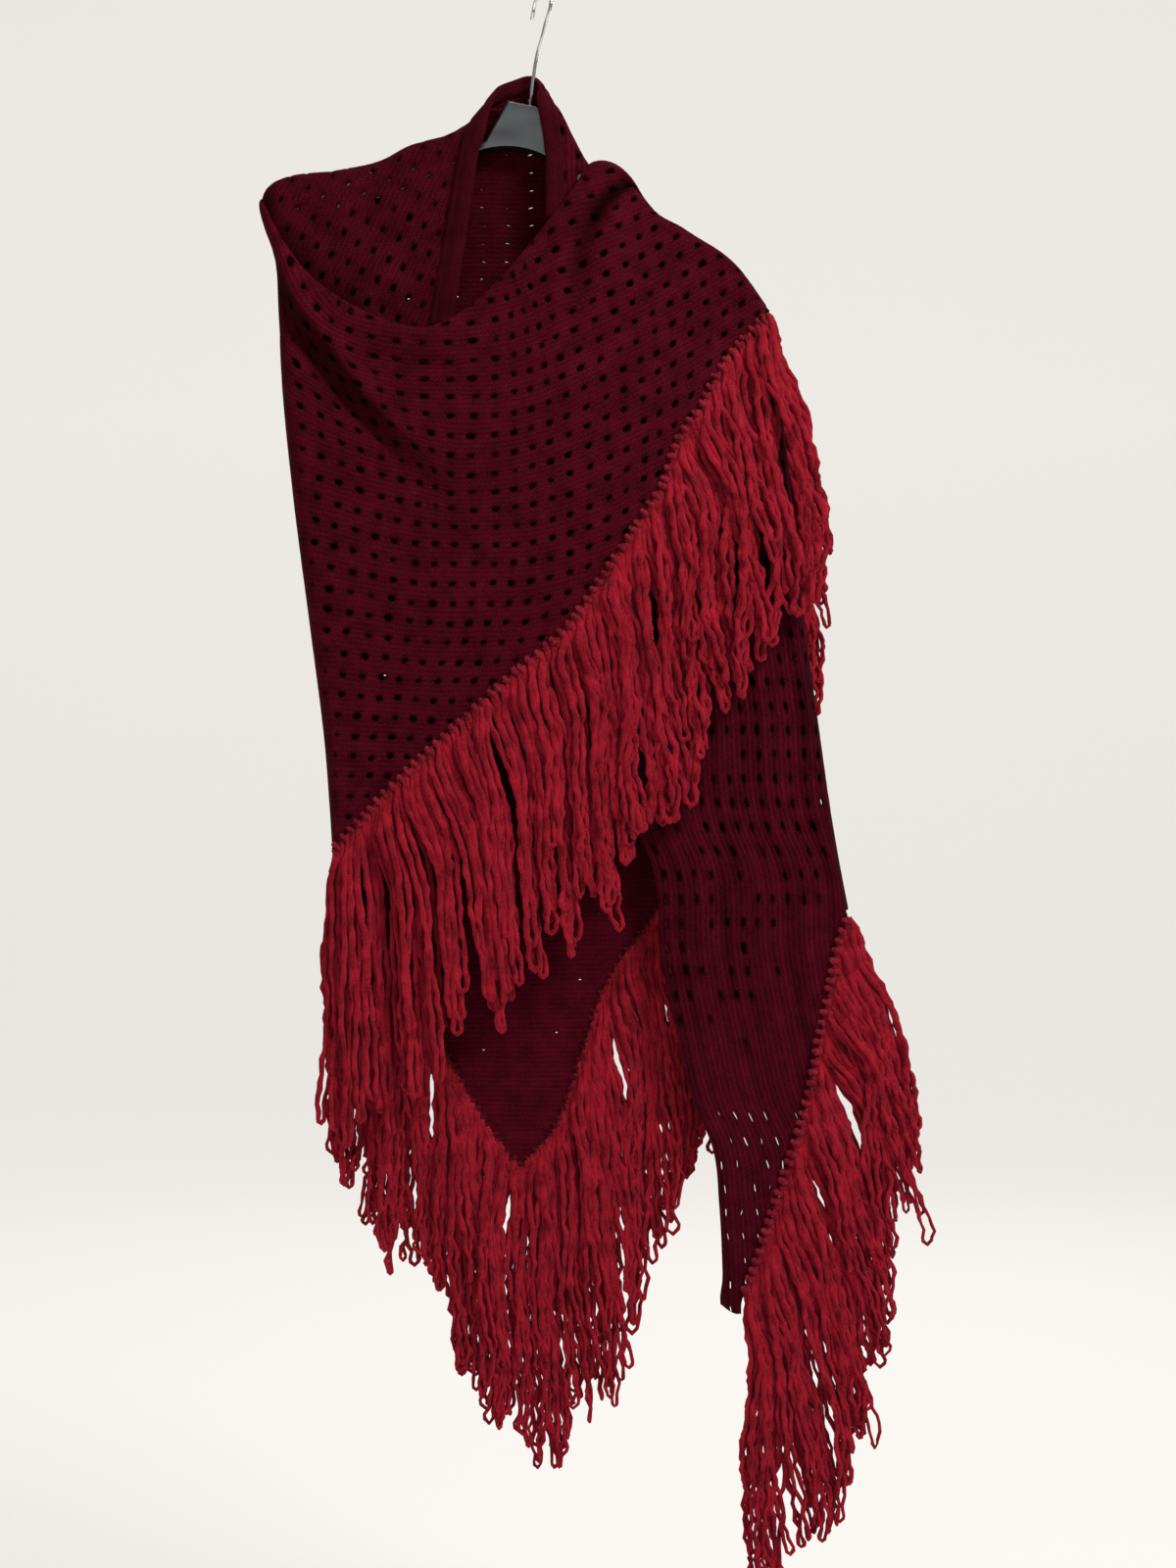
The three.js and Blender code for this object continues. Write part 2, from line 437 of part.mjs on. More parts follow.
// ---------------------------------------------------------------- rolled long edge
{
  // x, z, y of its middle, then the way its flat side faces
  const rows = [
    [-91.1, -308, -23, 0, -1, 0], [-85.8, -274.6, -21.5, 0, -1, 0], [-80.5, -241.1, -20, 0, -1, 0], [-75.2, -208.6, -18.8, 0, -1, 0],
    [-70, -177.8, -18, 0, -1, 0], [-65.6, -149.6, -17.5, 0, -1, 0], [-60.3, -126.7, -15.5, -0.2, -1, 0.2], [-55, -110.9, -8, -0.7, -0.6, 0.6],
    [-48.8, -101.2, 3, -0.7, 0.2, 0.7], [-40, -93.3, 11, -0.3, 0.9, 0.5], [-25.1, -88, 13, 0, 1, 0.2], [-11, -85.4, 13.2, 0, 1, 0.2],
    [-3.1, -86.2, 8.5, 0.4, 0.6, 0.7], [0.4, -89.8, -1.5, 0.6, -0.4, 0.7], [2.6, -97.7, -10.5, 0.3, -1, 0.4], [4.8, -112.6, -15.2, 0, -1, 0],
    [7.5, -135.5, -16.5, 0, -1, 0], [9.2, -161.9, -16.6, 0, -1, 0], [10.1, -186.6, -16.8, 0, -1, 0], [10.1, -209.4, -17, 0, -1, 0],
  ];
  const mid = new THREE.CatmullRomCurve3(rows.map((r) => new THREE.Vector3(r[0], r[2], r[1])), false, 'centripetal');
  const n = 46, pts = [], wide = [];
  for (let i = 0; i <= n; i++) {
    const t = i / n, u = t * (rows.length - 1), k = Math.min(rows.length - 2, Math.floor(u)), f = u - k;
    pts.push(mid.getPoint(t));
    const face = new THREE.Vector3(mix(rows[k][3], rows[k + 1][3], f), mix(rows[k][4], rows[k + 1][4], f), mix(rows[k][5], rows[k + 1][5], f)).normalize();
    wide.push(mid.getTangent(t).cross(face).normalize());
  }
  rod('neck_roll', pts, wide, ROLL_W, ROLL_T, 8, MAT.knit);
}

// ---------------------------------------------------------------- edging and fringe
// hem: x and z of the edging; low: x and z of the ends of the fringe; y: depth at a place and a share of the way down
function trim(tag, hem, low, n, y, out) {
  const H = path(hem), L = path(low);
  const pts = [], wide = [];
  for (let i = 0; i <= n; i++) {
    const [x, z] = H(i / n);
    pts.push(new THREE.Vector3(x, y(x, z, 0), z));
    wide.push(new THREE.Vector3(0, 1, 0));
  }
  rod('edging_' + tag, pts, wide, CORD_R, CORD_R, 6, MAT.knots);
  const e = 0.002;
  wall('fringe_' + tag, n, 4, (a, b) => {
    const p = H(Math.max(0, a - e)), q = H(Math.min(1, a + e)), l = Math.hypot(q[0] - p[0], q[1] - p[1]);
    const [hx, hz] = H(a), k = out * (SEAM + 0.6) / l;
    const sx = hx + (q[1] - p[1]) * k, sz = hz - (q[0] - p[0]) * k, [lx, lz] = L(a);
    const x = mix(sx, lx, b), z = mix(sz, lz, b);
    return [x, y(x, z, b, a), z];
  }, FRINGE, MAT.yarn);
}
trim('front', HEM_FRONT, [
  [-198.4, -1013.8], [-167.6, -1013.8], [-110.4, -965.4], [-48.8, -912.6], [4, -855.4], [49.7, -807], [92, -767.4], [131.6, -714.6], [166.8, -657.4], [202, -600.2], [246, -538.6],
], 22, (x, z, b) => {
  const cap = mix(-19, -31, smooth(0, 0.8, b)), f = frontDepth(x, Math.max(z, -626.6));
  return Math.min(b ? cap : -16, mix(f, Math.min(f, -30), b));
}, 1);
trim('back_left', HEM_BACK_LEFT, [ [-195.8, -1035.8], [-147.4, -1101.8], [-101.6, -1163.4], [-62, -1242.6], [-31.2, -1311.2] ], 9,
  (x, z, b) => backDepth(x, z), 1);
trim('back_right', HEM_BACK_RIGHT, [
  [-3.1, -1313], [30.4, -1277.8], [58.5, -1233.8], [87.6, -1163.4], [118.4, -1079.8], [158, -996.2], [197.6, -974.2], [228.4, -987.4], [255.6, -1022.6],
], 18, (x, z, b) => backDepth(x, z), 1);
trim('drop', HEM_DROP, [
  [327.8, -1022.6], [321.6, -1075.4], [315.5, -1128.2], [303.2, -1185.4], [289.1, -1242.6], [275, -1291], [260.9, -1339.4], [238, -1383.4], [190.5, -1415],
], 14, (x, z, b) => -18, -1);
trim('tail', HEM_TAIL, [ [248.6, -507.8], [245.1, -582.6], [231, -679.4], [218.7, -802.6], [195.8, -934.6], [151.8, -1035.8] ], 12,
  (x, z, b) => tailDepth(z), -1);

export default group;
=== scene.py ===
# A large triangular eyelet-knit shawl with a looped-yarn fringe, on a clothes hanger.
# Lengths in the tables are millimetres in the frame's axes: x to the right, y away from the front, z up.
import math
import bpy
import bmesh
import numpy as np
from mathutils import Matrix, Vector, noise


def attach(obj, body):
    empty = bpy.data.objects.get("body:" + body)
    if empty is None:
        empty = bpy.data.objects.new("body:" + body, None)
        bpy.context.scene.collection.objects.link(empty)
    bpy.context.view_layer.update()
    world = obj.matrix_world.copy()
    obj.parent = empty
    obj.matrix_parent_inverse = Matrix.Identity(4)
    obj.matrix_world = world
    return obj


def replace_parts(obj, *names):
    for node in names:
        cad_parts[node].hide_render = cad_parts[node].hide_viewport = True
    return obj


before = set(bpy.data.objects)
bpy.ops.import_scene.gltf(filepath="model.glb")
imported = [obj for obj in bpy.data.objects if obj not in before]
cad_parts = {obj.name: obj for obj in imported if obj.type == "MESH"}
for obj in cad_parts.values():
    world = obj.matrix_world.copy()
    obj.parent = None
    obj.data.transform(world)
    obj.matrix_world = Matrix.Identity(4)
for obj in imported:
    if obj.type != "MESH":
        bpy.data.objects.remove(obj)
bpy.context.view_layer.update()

MM = 0.001
rng = np.random.default_rng(20)

# ------------------------------------------------------------------ camera, lights, backdrop
scene = bpy.context.scene
cam_data = bpy.data.cameras.new("camera")
cam_data.sensor_width = 36.0
cam_data.lens = 61.36
cam_data.clip_end = 50
cam = bpy.data.objects.new("camera", cam_data)
cam.location = (39.16 * MM, -2400 * MM, -714.56 * MM)
cam.rotation_euler = (math.radians(90), 0, 0)
scene.collection.objects.link(cam)
scene.camera = cam
scene.view_settings.view_transform = "Standard"
scene.view_settings.look = "None"


def light(name, kind, place, aim, energy, size, colour=(1, 1, 1)):
    data = bpy.data.lights.new(name, kind)
    data.energy = energy
    data.color = colour
    if kind == "AREA":
        data.shape = "RECTANGLE"
        data.size, data.size_y = size
    ob = bpy.data.objects.new(name, data)
    ob.location = place
    ob.rotation_mode = "QUATERNION"
    ob.rotation_quaternion = (Vector(aim) - Vector(place)).to_track_quat("-Z", "Y")
    scene.collection.objects.link(ob)
    return ob


light("key", "AREA", (1.7, -1.9, 1.5), (0.05, 0, -0.6), 92, (0.9, 0.9), (1.0, 0.985, 0.96))
light("card", "AREA", (-0.6, -4.4, -0.5), (0, 0, -0.5), 42, (3.6, 3.2), (0.98, 0.99, 1.0))
light("top", "AREA", (0.1, -0.5, 2.3), (0.0, 0.0, -0.4), 22, (1.2, 0.8))
light("rear", "AREA", (0.4, 2.8, 0.8), (0, 0, -0.7), 34, (2.0, 2.0))

world = bpy.data.worlds.new("studio")
world.use_nodes = True
world.node_tree.nodes["Background"].inputs["Color"].default_value = (0.93, 0.92, 0.905, 1)
world.node_tree.nodes["Background"].inputs["Strength"].default_value = 0.24
scene.world = world


# ------------------------------------------------------------------ curves through tables
def slopes(k):
    """matrix that turns the values at the places k into slopes there"""
    n = len(k)
    S = np.zeros((n, n))
    S[0, 0], S[0, 1] = -1 / (k[1] - k[0]), 1 / (k[1] - k[0])
    S[-1, -2], S[-1, -1] = -1 / (k[-1] - k[-2]), 1 / (k[-1] - k[-2])
    for a in range(1, n - 1):
        h0, h1 = k[a] - k[a - 1], k[a + 1] - k[a]
        S[a, a - 1] = -h1 / h0 / (h0 + h1)
        S[a, a + 1] = h0 / h1 / (h0 + h1)
        S[a, a] = -S[a, a - 1] - S[a, a + 1]
    return S


def weights(k, q):
    """cubic weights of the values at the places k, for each q; straight past the ends"""
    k = np.asarray(k, float)
    q = np.asarray(q, float).ravel()
    n, S = len(k), slopes(k)
    c = np.clip(q, k[0], k[-1])
    i = np.clip(np.searchsorted(k, c, side="right") - 1, 0, n - 2)
    h = k[i + 1] - k[i]
    t = (c - k[i]) / h
    W = (((t ** 3 - 2 * t * t + t) * h)[:, None] * S[i] + ((t ** 3 - t * t) * h)[:, None] * S[i + 1])
    r = np.arange(len(q))
    np.add.at(W, (r, i), 2 * t ** 3 - 3 * t * t + 1)
    np.add.at(W, (r, i + 1), -2 * t ** 3 + 3 * t * t)
    out = q - c
    W += (out < 0)[:, None] * out[:, None] * S[0] + (out > 0)[:, None] * out[:, None] * S[-1]
    return W


def curve(rows, c=1):
    rows = sorted(rows)
    k, w = np.array([r[0] for r in rows], float), np.array([r[c] for r in rows], float)
    return lambda q: (weights(k, q) @ w).reshape(np.shape(q))


def along(points):
    """a path of rows of numbers, as a function of its length from 0 to 1 in the first two"""
    p = np.array(points, float)
    d = np.concatenate([[0], np.cumsum(np.hypot(*np.diff(p[:, :2], axis=0).T))])
    k = d / d[-1]
    f = lambda q: weights(k, q) @ p
    f.size = d[-1]
    return f


def relief(xs, rows):
    """depths on a grid: a row for each height z, a column for each x"""
    rows = sorted(rows)
    zs = np.array([r[0] for r in rows], float)
    T = np.array([r[1:] for r in rows], float)
    def f(x, z):
        shape = np.shape(x)
        a = weights(zs, np.clip(z, zs[0], zs[-1]))
        b = weights(xs, np.clip(x, xs[0], xs[-1]))
        return np.einsum("qa,ab,qb->q", a, T, b).reshape(shape)
    return f


def smooth(a, b, x):
    t = np.clip((np.asarray(x, float) - a) / (b - a), 0, 1)
    return t * t * (3 - 2 * t)


def mix(a, b, t):
    return a + (b - a) * t


def near_line(line, x, z):
    """signed distance of (x, z) from a line of (x, z) rows, and the share of the way along it; positive to the left of its way"""
    p = np.array(line, float)
    best = np.full(np.shape(x), 1e9)
    side = np.zeros(np.shape(x))
    share = np.zeros(np.shape(x))
    L = np.concatenate([[0], np.cumsum(np.hypot(*np.diff(p[:, :2], axis=0).T))])
    for a in range(len(p) - 1):
        dx, dz = p[a + 1, 0] - p[a, 0], p[a + 1, 1] - p[a, 1]
        l2 = dx * dx + dz * dz
        t = np.clip(((x - p[a, 0]) * dx + (z - p[a, 1]) * dz) / l2, 0, 1)
        ex, ez = x - (p[a, 0] + t * dx), z - (p[a, 1] + t * dz)
        d = np.hypot(ex, ez)
        w = d < best
        best = np.where(w, d, best)
        side = np.where(w, np.sign(dx * ez - dz * ex), side)
        share = np.where(w, (L[a] + t * math.sqrt(l2)) / L[-1], share)
    return best * side, share


def hollow(line, x, z, deep, wide, fade=(0.08, 0.85)):
    """a soft trough along a line: to be added to a depth"""
    d, s = near_line(line, x, z)
    return deep * np.exp(-(d / wide) ** 2) * smooth(0, fade[0], s) * (1 - smooth(fade[1], 1, s))


# ------------------------------------------------------------------ outlines (x, z) and depths (y)
CORD_R = 3.0
RING_LEFT, RING_RIGHT, TURN, ARM = 12.0, 11.0, 7.0, 10.5

LEFT_FOLD = [  # z, x
    [-177.8, -250.8], [-185.7, -254.2], [-195.4, -255.5], [-213, -251.2], [-239.4, -241.6], [-301, -237.2], [-362.6, -233.6], [-450.6, -224.8],
    [-573.8, -209], [-679.4, -195.8], [-776.2, -188.8],
]
RIGHT_FOLD = [
    [-248.2, 172.9], [-301, 199.3], [-380.2, 212.5], [-468.2, 222.2], [-565, 232.8],
    [-661.8, 245.1], [-758.6, 259.2], [-833.4, 273.2],
]
COWL = [
    [-252, -193.6], [-238.2, -221.1], [-217, -252.8], [-190.1, -277.8], [-158.3, -297.1], [-125.1, -309.9], [-99.1, -311.1],
    [-71.4, -298.2], [-43, -273.2], [-17.2, -242.6], [8.7, -208.4], [28.7, -180.5], [40.9, -160.3],
]
RIDGE = [
    [40.9, -160.3], [56.8, -156.6], [78.8, -172.5], [92, -193.6], [127.2, -218.2], [175.6, -253.4], [201.1, -288.6],
]
HEM_FRONT = [
    [-187.8, -772.4], [-120.7, -702.4], [-70.1, -655.6], [-26.6, -615.9], [15.8, -580.5], [52.1, -530.4], [80.7, -487.1],
    [105.8, -447.1], [118, -410.3], [135.5, -383.9], [159.2, -340.4], [200, -293.2],
]
HEM_BACK_LEFT = [[-187.1, -778.2], [-138.1, -867], [-86.7, -960], [-51.2, -1022.1], [-26.4, -1056.6]]
HEM_BACK_RIGHT = [
    [-16.7, -1056.6], [5.5, -1027.4], [30.3, -964.5], [54.2, -895.4], [93.2, -838.6], [136.6, -785.5], [176.5, -758.9],
    [220.8, -776.6], [262.5, -815.6],
]
HEM_DROP = [
    [270.5, -832], [261.9, -854.3], [255.8, -884.9], [245.3, -937.3], [231.3, -1006.3], [217.3, -1051.7], [203.4, -1091.9],
    [190.3, -1134.7], [176.3, -1168.7],
]
HEM_TAIL = [[204.6, -301], [209, -380.2], [202.8, -485.8], [190.5, -609], [171.2, -741], [148.3, -842.2]]
SHOULDER = [[-254.8, -189.2], [-251.2, -181.3], [-245.1, -176], [-238, -172.5], [-185.2, -163.7], [-143.9, -154], [-124.5, -143.4], [-79.6, -128.5], [-65.6, -119.7]]
DROP_TOP = [[9.2, -143.4], [39.2, -163.7], [92, -199.8], [134.2, -230.6], [168.5, -257.8]]
DROP_IN = [  # z, x of the plain edge of the long point
    [-156.3, 21.6], [-215.9, 24.3], [-303.7, 32.2], [-408.9, 44.4],
    [-539.9, 58.4], [-644.7, 70.6], [-758.2, 83.7], [-784.4, 95.1],
    [-864.8, 103.8], [-931.2, 116.9], [-998.4, 133.5], [-1038.6, 150.1],
    [-1091.9, 156.2], [-1168.7, 159.7],
]
left_fold, right_fold = curve(LEFT_FOLD), curve(RIGHT_FOLD)
front_top = curve(COWL + RIDGE[1:])
front_hem = curve(HEM_FRONT)
shoulder_top, drop_top = curve(SHOULDER), curve(DROP_TOP)
drop_in = curve(DROP_IN)
drop_out = curve([[z, x] for x, z in HEM_DROP])
under = lambda p: [p[0], p[1] - ARM - 2.6]
back_top = curve([under(p) for p in SHOULDER] + [
    [-57.6, -111.8], [-48.8, -95.9], [-33.9, -87.6], [-12.8, -84.5], [-0.4, -91.5], [11, -123.2],
    [19.8, -165.4]]
    + [under(p) for p in DROP_TOP[1:]] + [[183.5, -286], [276.8, -340.6]])
back_hem = curve([[-202.8, -748]] + HEM_BACK_LEFT[:-1] + [[-22, -1057.5]] + HEM_BACK_RIGHT[1:] + [[290, -839.5]])

FRONT_XS = [-260, -189.6, -119.2, -48.8, 21.6, 92, 162.4, 215.2]
front_depth_0 = relief(FRONT_XS, [
    [-151.4, -10, -20, -30, -30, -18, -15, -15, -15],
    [-221.8, -13, -34, -44, -42, -30, -20, -15, -15],
    [-292.2, -17, -36, -48, -48, -42, -30, -20, -16],
    [-362.6, -19, -34, -46, -50, -48, -40, -31, -25],
    [-468.2, -21, -32, -42, -48, -48, -44, -38, -33],
    [-573.8, -22, -30, -38, -44, -46, -44, -40, -37],
    [-679.4, -22, -28, -34, -38, -42, -42, -40, -37],
    [-785, -22, -25, -30, -34, -38, -40, -40, -37],
])
BAND = [[-249.5, -241.1], [-237.2, -271], [-218.7, -301], [-194, -332.6], [-165, -373.1], [-128, -411.8], [-88.4, -448.8], [-48.8, -474.3]]
STRAP = [[84.9, -172.5], [69.1, -184.8], [52.4, -199.8], [40, -220], [33.9, -246.4], [30.4, -283.4], [25.1, -320.3]]
LIP = [[-91.1, -290.4], [-61.2, -281.6], [-31.2, -257], [-3.1, -227], [21.6, -191.8]]
SAG_1 = [[-185.2, -320.3], [-136.8, -337.9], [-75.2, -345], [-13.6, -329.1], [39.2, -296.6]]
SAG_2 = [[-88.4, -362.6], [-31.2, -364.3], [30.4, -337.9], [83.2, -301], [118.4, -265.8]]
SAG_3 = [[-66.4, -406.6], [4, -397.8], [74.4, -358.2], [127.2, -318.6], [162.4, -283.4]]


def front_depth(x, z):
    y = front_depth_0(x, z)
    d, s = near_line(BAND, x, z)
    size = (1 - smooth(0.35, 1.0, s))
    y = y + size * (13 * np.exp(-((d + 9) / 9) ** 2) * (1 - 0.6 * smooth(0, 0.3, 0.3 - s)) - 4.5 * np.exp(-((d - 9) / 9) ** 2))
    y = y + hollow(STRAP, x, z, 9.0, 8.0, (0.02, 0.55)) - hollow([[p[0] - 19, p[1] - 4] for p in STRAP], x, z, 9.0, 11, (0.02, 0.55))
    y = y - hollow([[p[0] + 17, p[1]] for p in STRAP], x, z, 4.0, 9, (0.02, 0.45))
    y = y + hollow(LIP, x, z, 3.6, 5, (0.3, 0.7))
    y = y + hollow(SAG_1, x, z, 3.0, 8, (0.3, 0.6)) + hollow(SAG_2, x, z, 2.8, 9, (0.3, 0.6)) + hollow(SAG_3, x, z, 2.6, 10, (0.3, 0.6))
    return y


FLUTE_PITCH, FLUTE_DEEP = 42.0, 6.5


BACK_1 = [[-106.9, -191], [-115.7, -380.2], [-103.4, -626.6], [-91.1, -890.6]]
BACK_2 = [[-20.7, -230.6], [-41.8, -450.6], [-34.8, -714.6], [-27.7, -961]]
BACK_3 = [[-150.9, -217.4], [-161.5, -433], [-140.4, -802.6]]


def back_depth(x, z):
    low = smooth(-180, -700, z)
    x, z = np.asarray(x, float), np.asarray(z, float)
    soft = (hollow(BACK_1, x, z, 7.0, 15, (0.22, 0.7)) + hollow(BACK_2, x, z, 9.0, 21, (0.25, 0.6))
            + hollow(BACK_3, x, z, 5.0, 11, (0.3, 0.75)))
    flute = FLUTE_DEEP * smooth(39.2, 118.4, x) * smooth(266.2, 246, x) * smooth(-230, -600, z)
    fold = 3 * low * smooth(74.4, 4, x) * smooth(-224.8, -154.4, x)
    return (14 + 3 * low + soft + flute * np.sin(2 * np.pi * x / FLUTE_PITCH)
            + fold * np.sin(2 * np.pi * (x + 0.12 * z) / 92))


drop_depth_0 = curve([[-1189.8, -17], [-802.6, -18], [-538.6, -17], [-362.6, -14], [-248.2, -10.5], [-142.6, -9.5]])
tail_depth = curve([[-855.4, 35], [-538.6, 36], [-309.8, 30], [-239.4, 22], [-142.6, 19]])
shoulder_depth_0 = curve([[-389, -17], [-292.2, -15], [-221.8, -11], [-177.8, -9.5], [-107.4, -9.5]])


def drop_depth(x, z):
    k = smooth(-301, -468.2, z)
    u = x - drop_in(z)
    return drop_depth_0(z) - k * (1.9 * np.sin(u / 7.4 + 0.004 * z) + 1.0 * np.sin(u / 3.1 + 1.0 + 0.002 * z))


SLING_1 = [[-224.8, -191], [-185.2, -235], [-141.2, -292.2], [-110.4, -337.9]]
SLING_2 = [[-185.2, -177.8], [-141.2, -230.6], [-101.6, -301], [-88.4, -345]]
SLING_3 = [[-121, -151.4], [-103.4, -213], [-92.8, -274.6], [-88.4, -327.4]]


def shoulder_depth(x, z):
    y = mix(3.0, shoulder_depth_0(z), smooth(-256.5, -238.9, x))
    return (y + hollow(SLING_1, x, z, 2.2, 9, (0.2, 0.8)) + hollow(SLING_2, x, z, 1.8, 10, (0.2, 0.8))
            - hollow(SLING_3, x, z, 1.5, 9, (0.2, 0.8)))


def turn(d, r, yf, yb):
    """A sheet that turns over a line. d: distance inside the line, along the sheet, less than 0 once over it.
    Gives the distance inside the line as seen, the depth, and how far round it is, 0 to 1."""
    yc, rd = (yf + yb) / 2, (yb - yf) / 2
    arc = np.pi * np.sqrt((r * r + rd * rd) / 2)
    q = np.clip((r - d) / arc, 0, 1) * np.pi
    past = np.maximum(0, (r - arc) - d)
    inside = np.where(d >= r, d, r * (1 - np.sin(q)) + past)
    return inside, np.where(d >= r, yf, yc - rd * np.cos(q)), (r - d) / arc


# ------------------------------------------------------------------ materials
def new_material(name):
    m = bpy.data.materials.new(name)
    m.use_nodes = True
    nt = m.node_tree
    return m, nt, nt.nodes["Principled BSDF"]


def node(nt, kind, **values):
    n = nt.nodes.new(kind)
    for k, v in values.items():
        if k.startswith("in_"):
            n.inputs[int(k[3:])].default_value = v
        else:
            setattr(n, k, v)
    return n


def calc(nt, op, a, b=None):
    n = node(nt, "ShaderNodeMath", operation=op)
    for i, v in enumerate((a, b)):
        if v is None:
            continue
        if isinstance(v, (int, float)):
            n.inputs[i].default_value = v
        else:
            nt.links.new(v, n.inputs[i])
    return n.outputs[0]


def knit_material(name, dark, light_, course=2.9, wale=3.6, bump=1.0, rows=0.55):
    """rows of stitches along the first flat coordinate, with a soft hairy surface, and painted shade and highlight from
    the deep attribute
    """
    m, nt, b = new_material(name)
    uv = node(nt, "ShaderNodeUVMap", uv_map="flat")
    obj = node(nt, "ShaderNodeTexCoord")
    fuzz = node(nt, "ShaderNodeTexNoise")
    fuzz.inputs["Scale"].default_value = 900
    fuzz.inputs["Detail"].default_value = 4
    wob = node(nt, "ShaderNodeTexNoise")
    wob.inputs["Scale"].default_value = 55
    wob.inputs["Detail"].default_value = 3
    nt.links.new(obj.outputs["Object"], fuzz.inputs["Vector"])
    nt.links.new(obj.outputs["Object"], wob.inputs["Vector"])
    sep = node(nt, "ShaderNodeSeparateXYZ")
    nt.links.new(uv.outputs["UV"], sep.inputs[0])
    wv = calc(nt, "MULTIPLY", wob.outputs["Fac"], 2.6)
    row = calc(nt, "SINE", calc(nt, "ADD", calc(nt, "MULTIPLY", sep.outputs["Y"], 2 * math.pi * 1000 / course), wv))
    col = calc(nt, "SINE", calc(nt, "ADD", calc(nt, "MULTIPLY", sep.outputs["X"], 2 * math.pi * 1000 / wale), wv))
    stitch = calc(nt, "ADD", calc(nt, "MULTIPLY", row, rows), calc(nt, "MULTIPLY", calc(nt, "MULTIPLY", col, row), 0.3))
    height = calc(nt, "ADD", calc(nt, "MULTIPLY", stitch, 0.5), calc(nt, "MULTIPLY", fuzz.outputs["Fac"], 1.6))
    bp = node(nt, "ShaderNodeBump")
    bp.inputs["Strength"].default_value = 0.9 * bump
    bp.inputs["Distance"].default_value = 0.0011
    nt.links.new(height, bp.inputs["Height"])
    nt.links.new(bp.outputs["Normal"], b.inputs["Normal"])
    ramp = node(nt, "ShaderNodeValToRGB")
    ramp.color_ramp.elements[0].position = 0.3
    ramp.color_ramp.elements[0].color = (*dark, 1)
    ramp.color_ramp.elements[1].position = 0.72
    ramp.color_ramp.elements[1].color = (*light_, 1)
    shade = calc(nt, "ADD", calc(nt, "MULTIPLY", fuzz.outputs["Fac"], 0.55),
                 calc(nt, "ADD", calc(nt, "MULTIPLY", wob.outputs["Fac"], 0.35), calc(nt, "MULTIPLY", stitch, 0.10)))
    nt.links.new(shade, ramp.inputs["Fac"])
    # painted shade: the deep attribute darkens the colour, and where it is below 0 it lightens it as a painted
    # highlight
    deep = node(nt, "ShaderNodeAttribute", attribute_name="deep")
    painted_shade_and_highlight = node(nt, "ShaderNodeHueSaturation")
    nt.links.new(calc(nt, "SUBTRACT", 1.0, deep.outputs["Fac"]), painted_shade_and_highlight.inputs["Value"])
    nt.links.new(ramp.outputs["Color"], painted_shade_and_highlight.inputs["Color"])
    nt.links.new(painted_shade_and_highlight.outputs["Color"], b.inputs["Base Color"])
    b.inputs["Roughness"].default_value = 0.92
    b.inputs["Specular IOR Level"].default_value = 0.03
    b.inputs["Sheen Weight"].default_value = 0.02
    b.inputs["Sheen Roughness"].default_value = 0.45
    b.inputs["Sheen Tint"].default_value = (0.8, 0.12, 0.2, 1)
    return m


def yarn_material(name, dark, light_, sheen=0.05):
    m, nt, b = new_material(name)
    obj = node(nt, "ShaderNodeTexCoord")
    fuzz = node(nt, "ShaderNodeTexNoise")
    fuzz.inputs["Scale"].default_value = 760
    fuzz.inputs["Detail"].default_value = 5
    fuzz.inputs["Roughness"].default_value = 0.65
    big = node(nt, "ShaderNodeTexNoise")
    big.inputs["Scale"].default_value = 70
    big.inputs["Detail"].default_value = 2
    for n in (fuzz, big):
        nt.links.new(obj.outputs["Object"], n.inputs["Vector"])
    bp = node(nt, "ShaderNodeBump")
    bp.inputs["Strength"].default_value = 1.0
    bp.inputs["Distance"].default_value = 0.0024
    nt.links.new(calc(nt, "ADD", fuzz.outputs["Fac"], calc(nt, "MULTIPLY", big.outputs["Fac"], 0.6)), bp.inputs["Height"])
    nt.links.new(bp.outputs["Normal"], b.inputs["Normal"])
    ramp = node(nt, "ShaderNodeValToRGB")
    ramp.color_ramp.elements[0].position = 0.36
    ramp.color_ramp.elements[0].color = (*dark, 1)
    ramp.color_ramp.elements[1].position = 0.64
    ramp.color_ramp.elements[1].color = (*light_, 1)
    nt.links.new(calc(nt, "ADD", calc(nt, "MULTIPLY", fuzz.outputs["Fac"], 0.6), calc(nt, "MULTIPLY", big.outputs["Fac"], 0.4)),
                 ramp.inputs["Fac"])
    nt.links.new(ramp.outputs["Color"], b.inputs["Base Color"])
    b.inputs["Roughness"].default_value = 0.9
    b.inputs["Specular IOR Level"].default_value = 0.04
    b.inputs["Sheen Weight"].default_value = sheen
    b.inputs["Sheen Roughness"].default_value = 0.4
    b.inputs["Sheen Tint"].default_value = (0.9, 0.25, 0.3, 1)
    return m


KNIT = knit_material("knit", (0.026, 0.0009, 0.0036), (0.125, 0.0042, 0.0150), 4.4, 3.5, 1.5, 0.36)
# a darker copy of the knit for the neck roll: painted shade, with a plainer stitch
KNIT_PLAIN = knit_material("knit_roll", (0.019, 0.0008, 0.0030), (0.068, 0.0028, 0.0098), 3.2, 4.2, 0.8, 0.12)
KNOT = yarn_material("knots", (0.085, 0.0030, 0.0090), (0.34, 0.020, 0.040))
# a darker copy of the knot yarn for the back hems: painted shade
KNOT_SHADED = yarn_material("knots_back", (0.034, 0.0012, 0.0040), (0.15, 0.0070, 0.0160))
YARN = yarn_material("fringe_yarn", (0.100, 0.0018, 0.0055), (0.47, 0.0115, 0.030), 0.16)

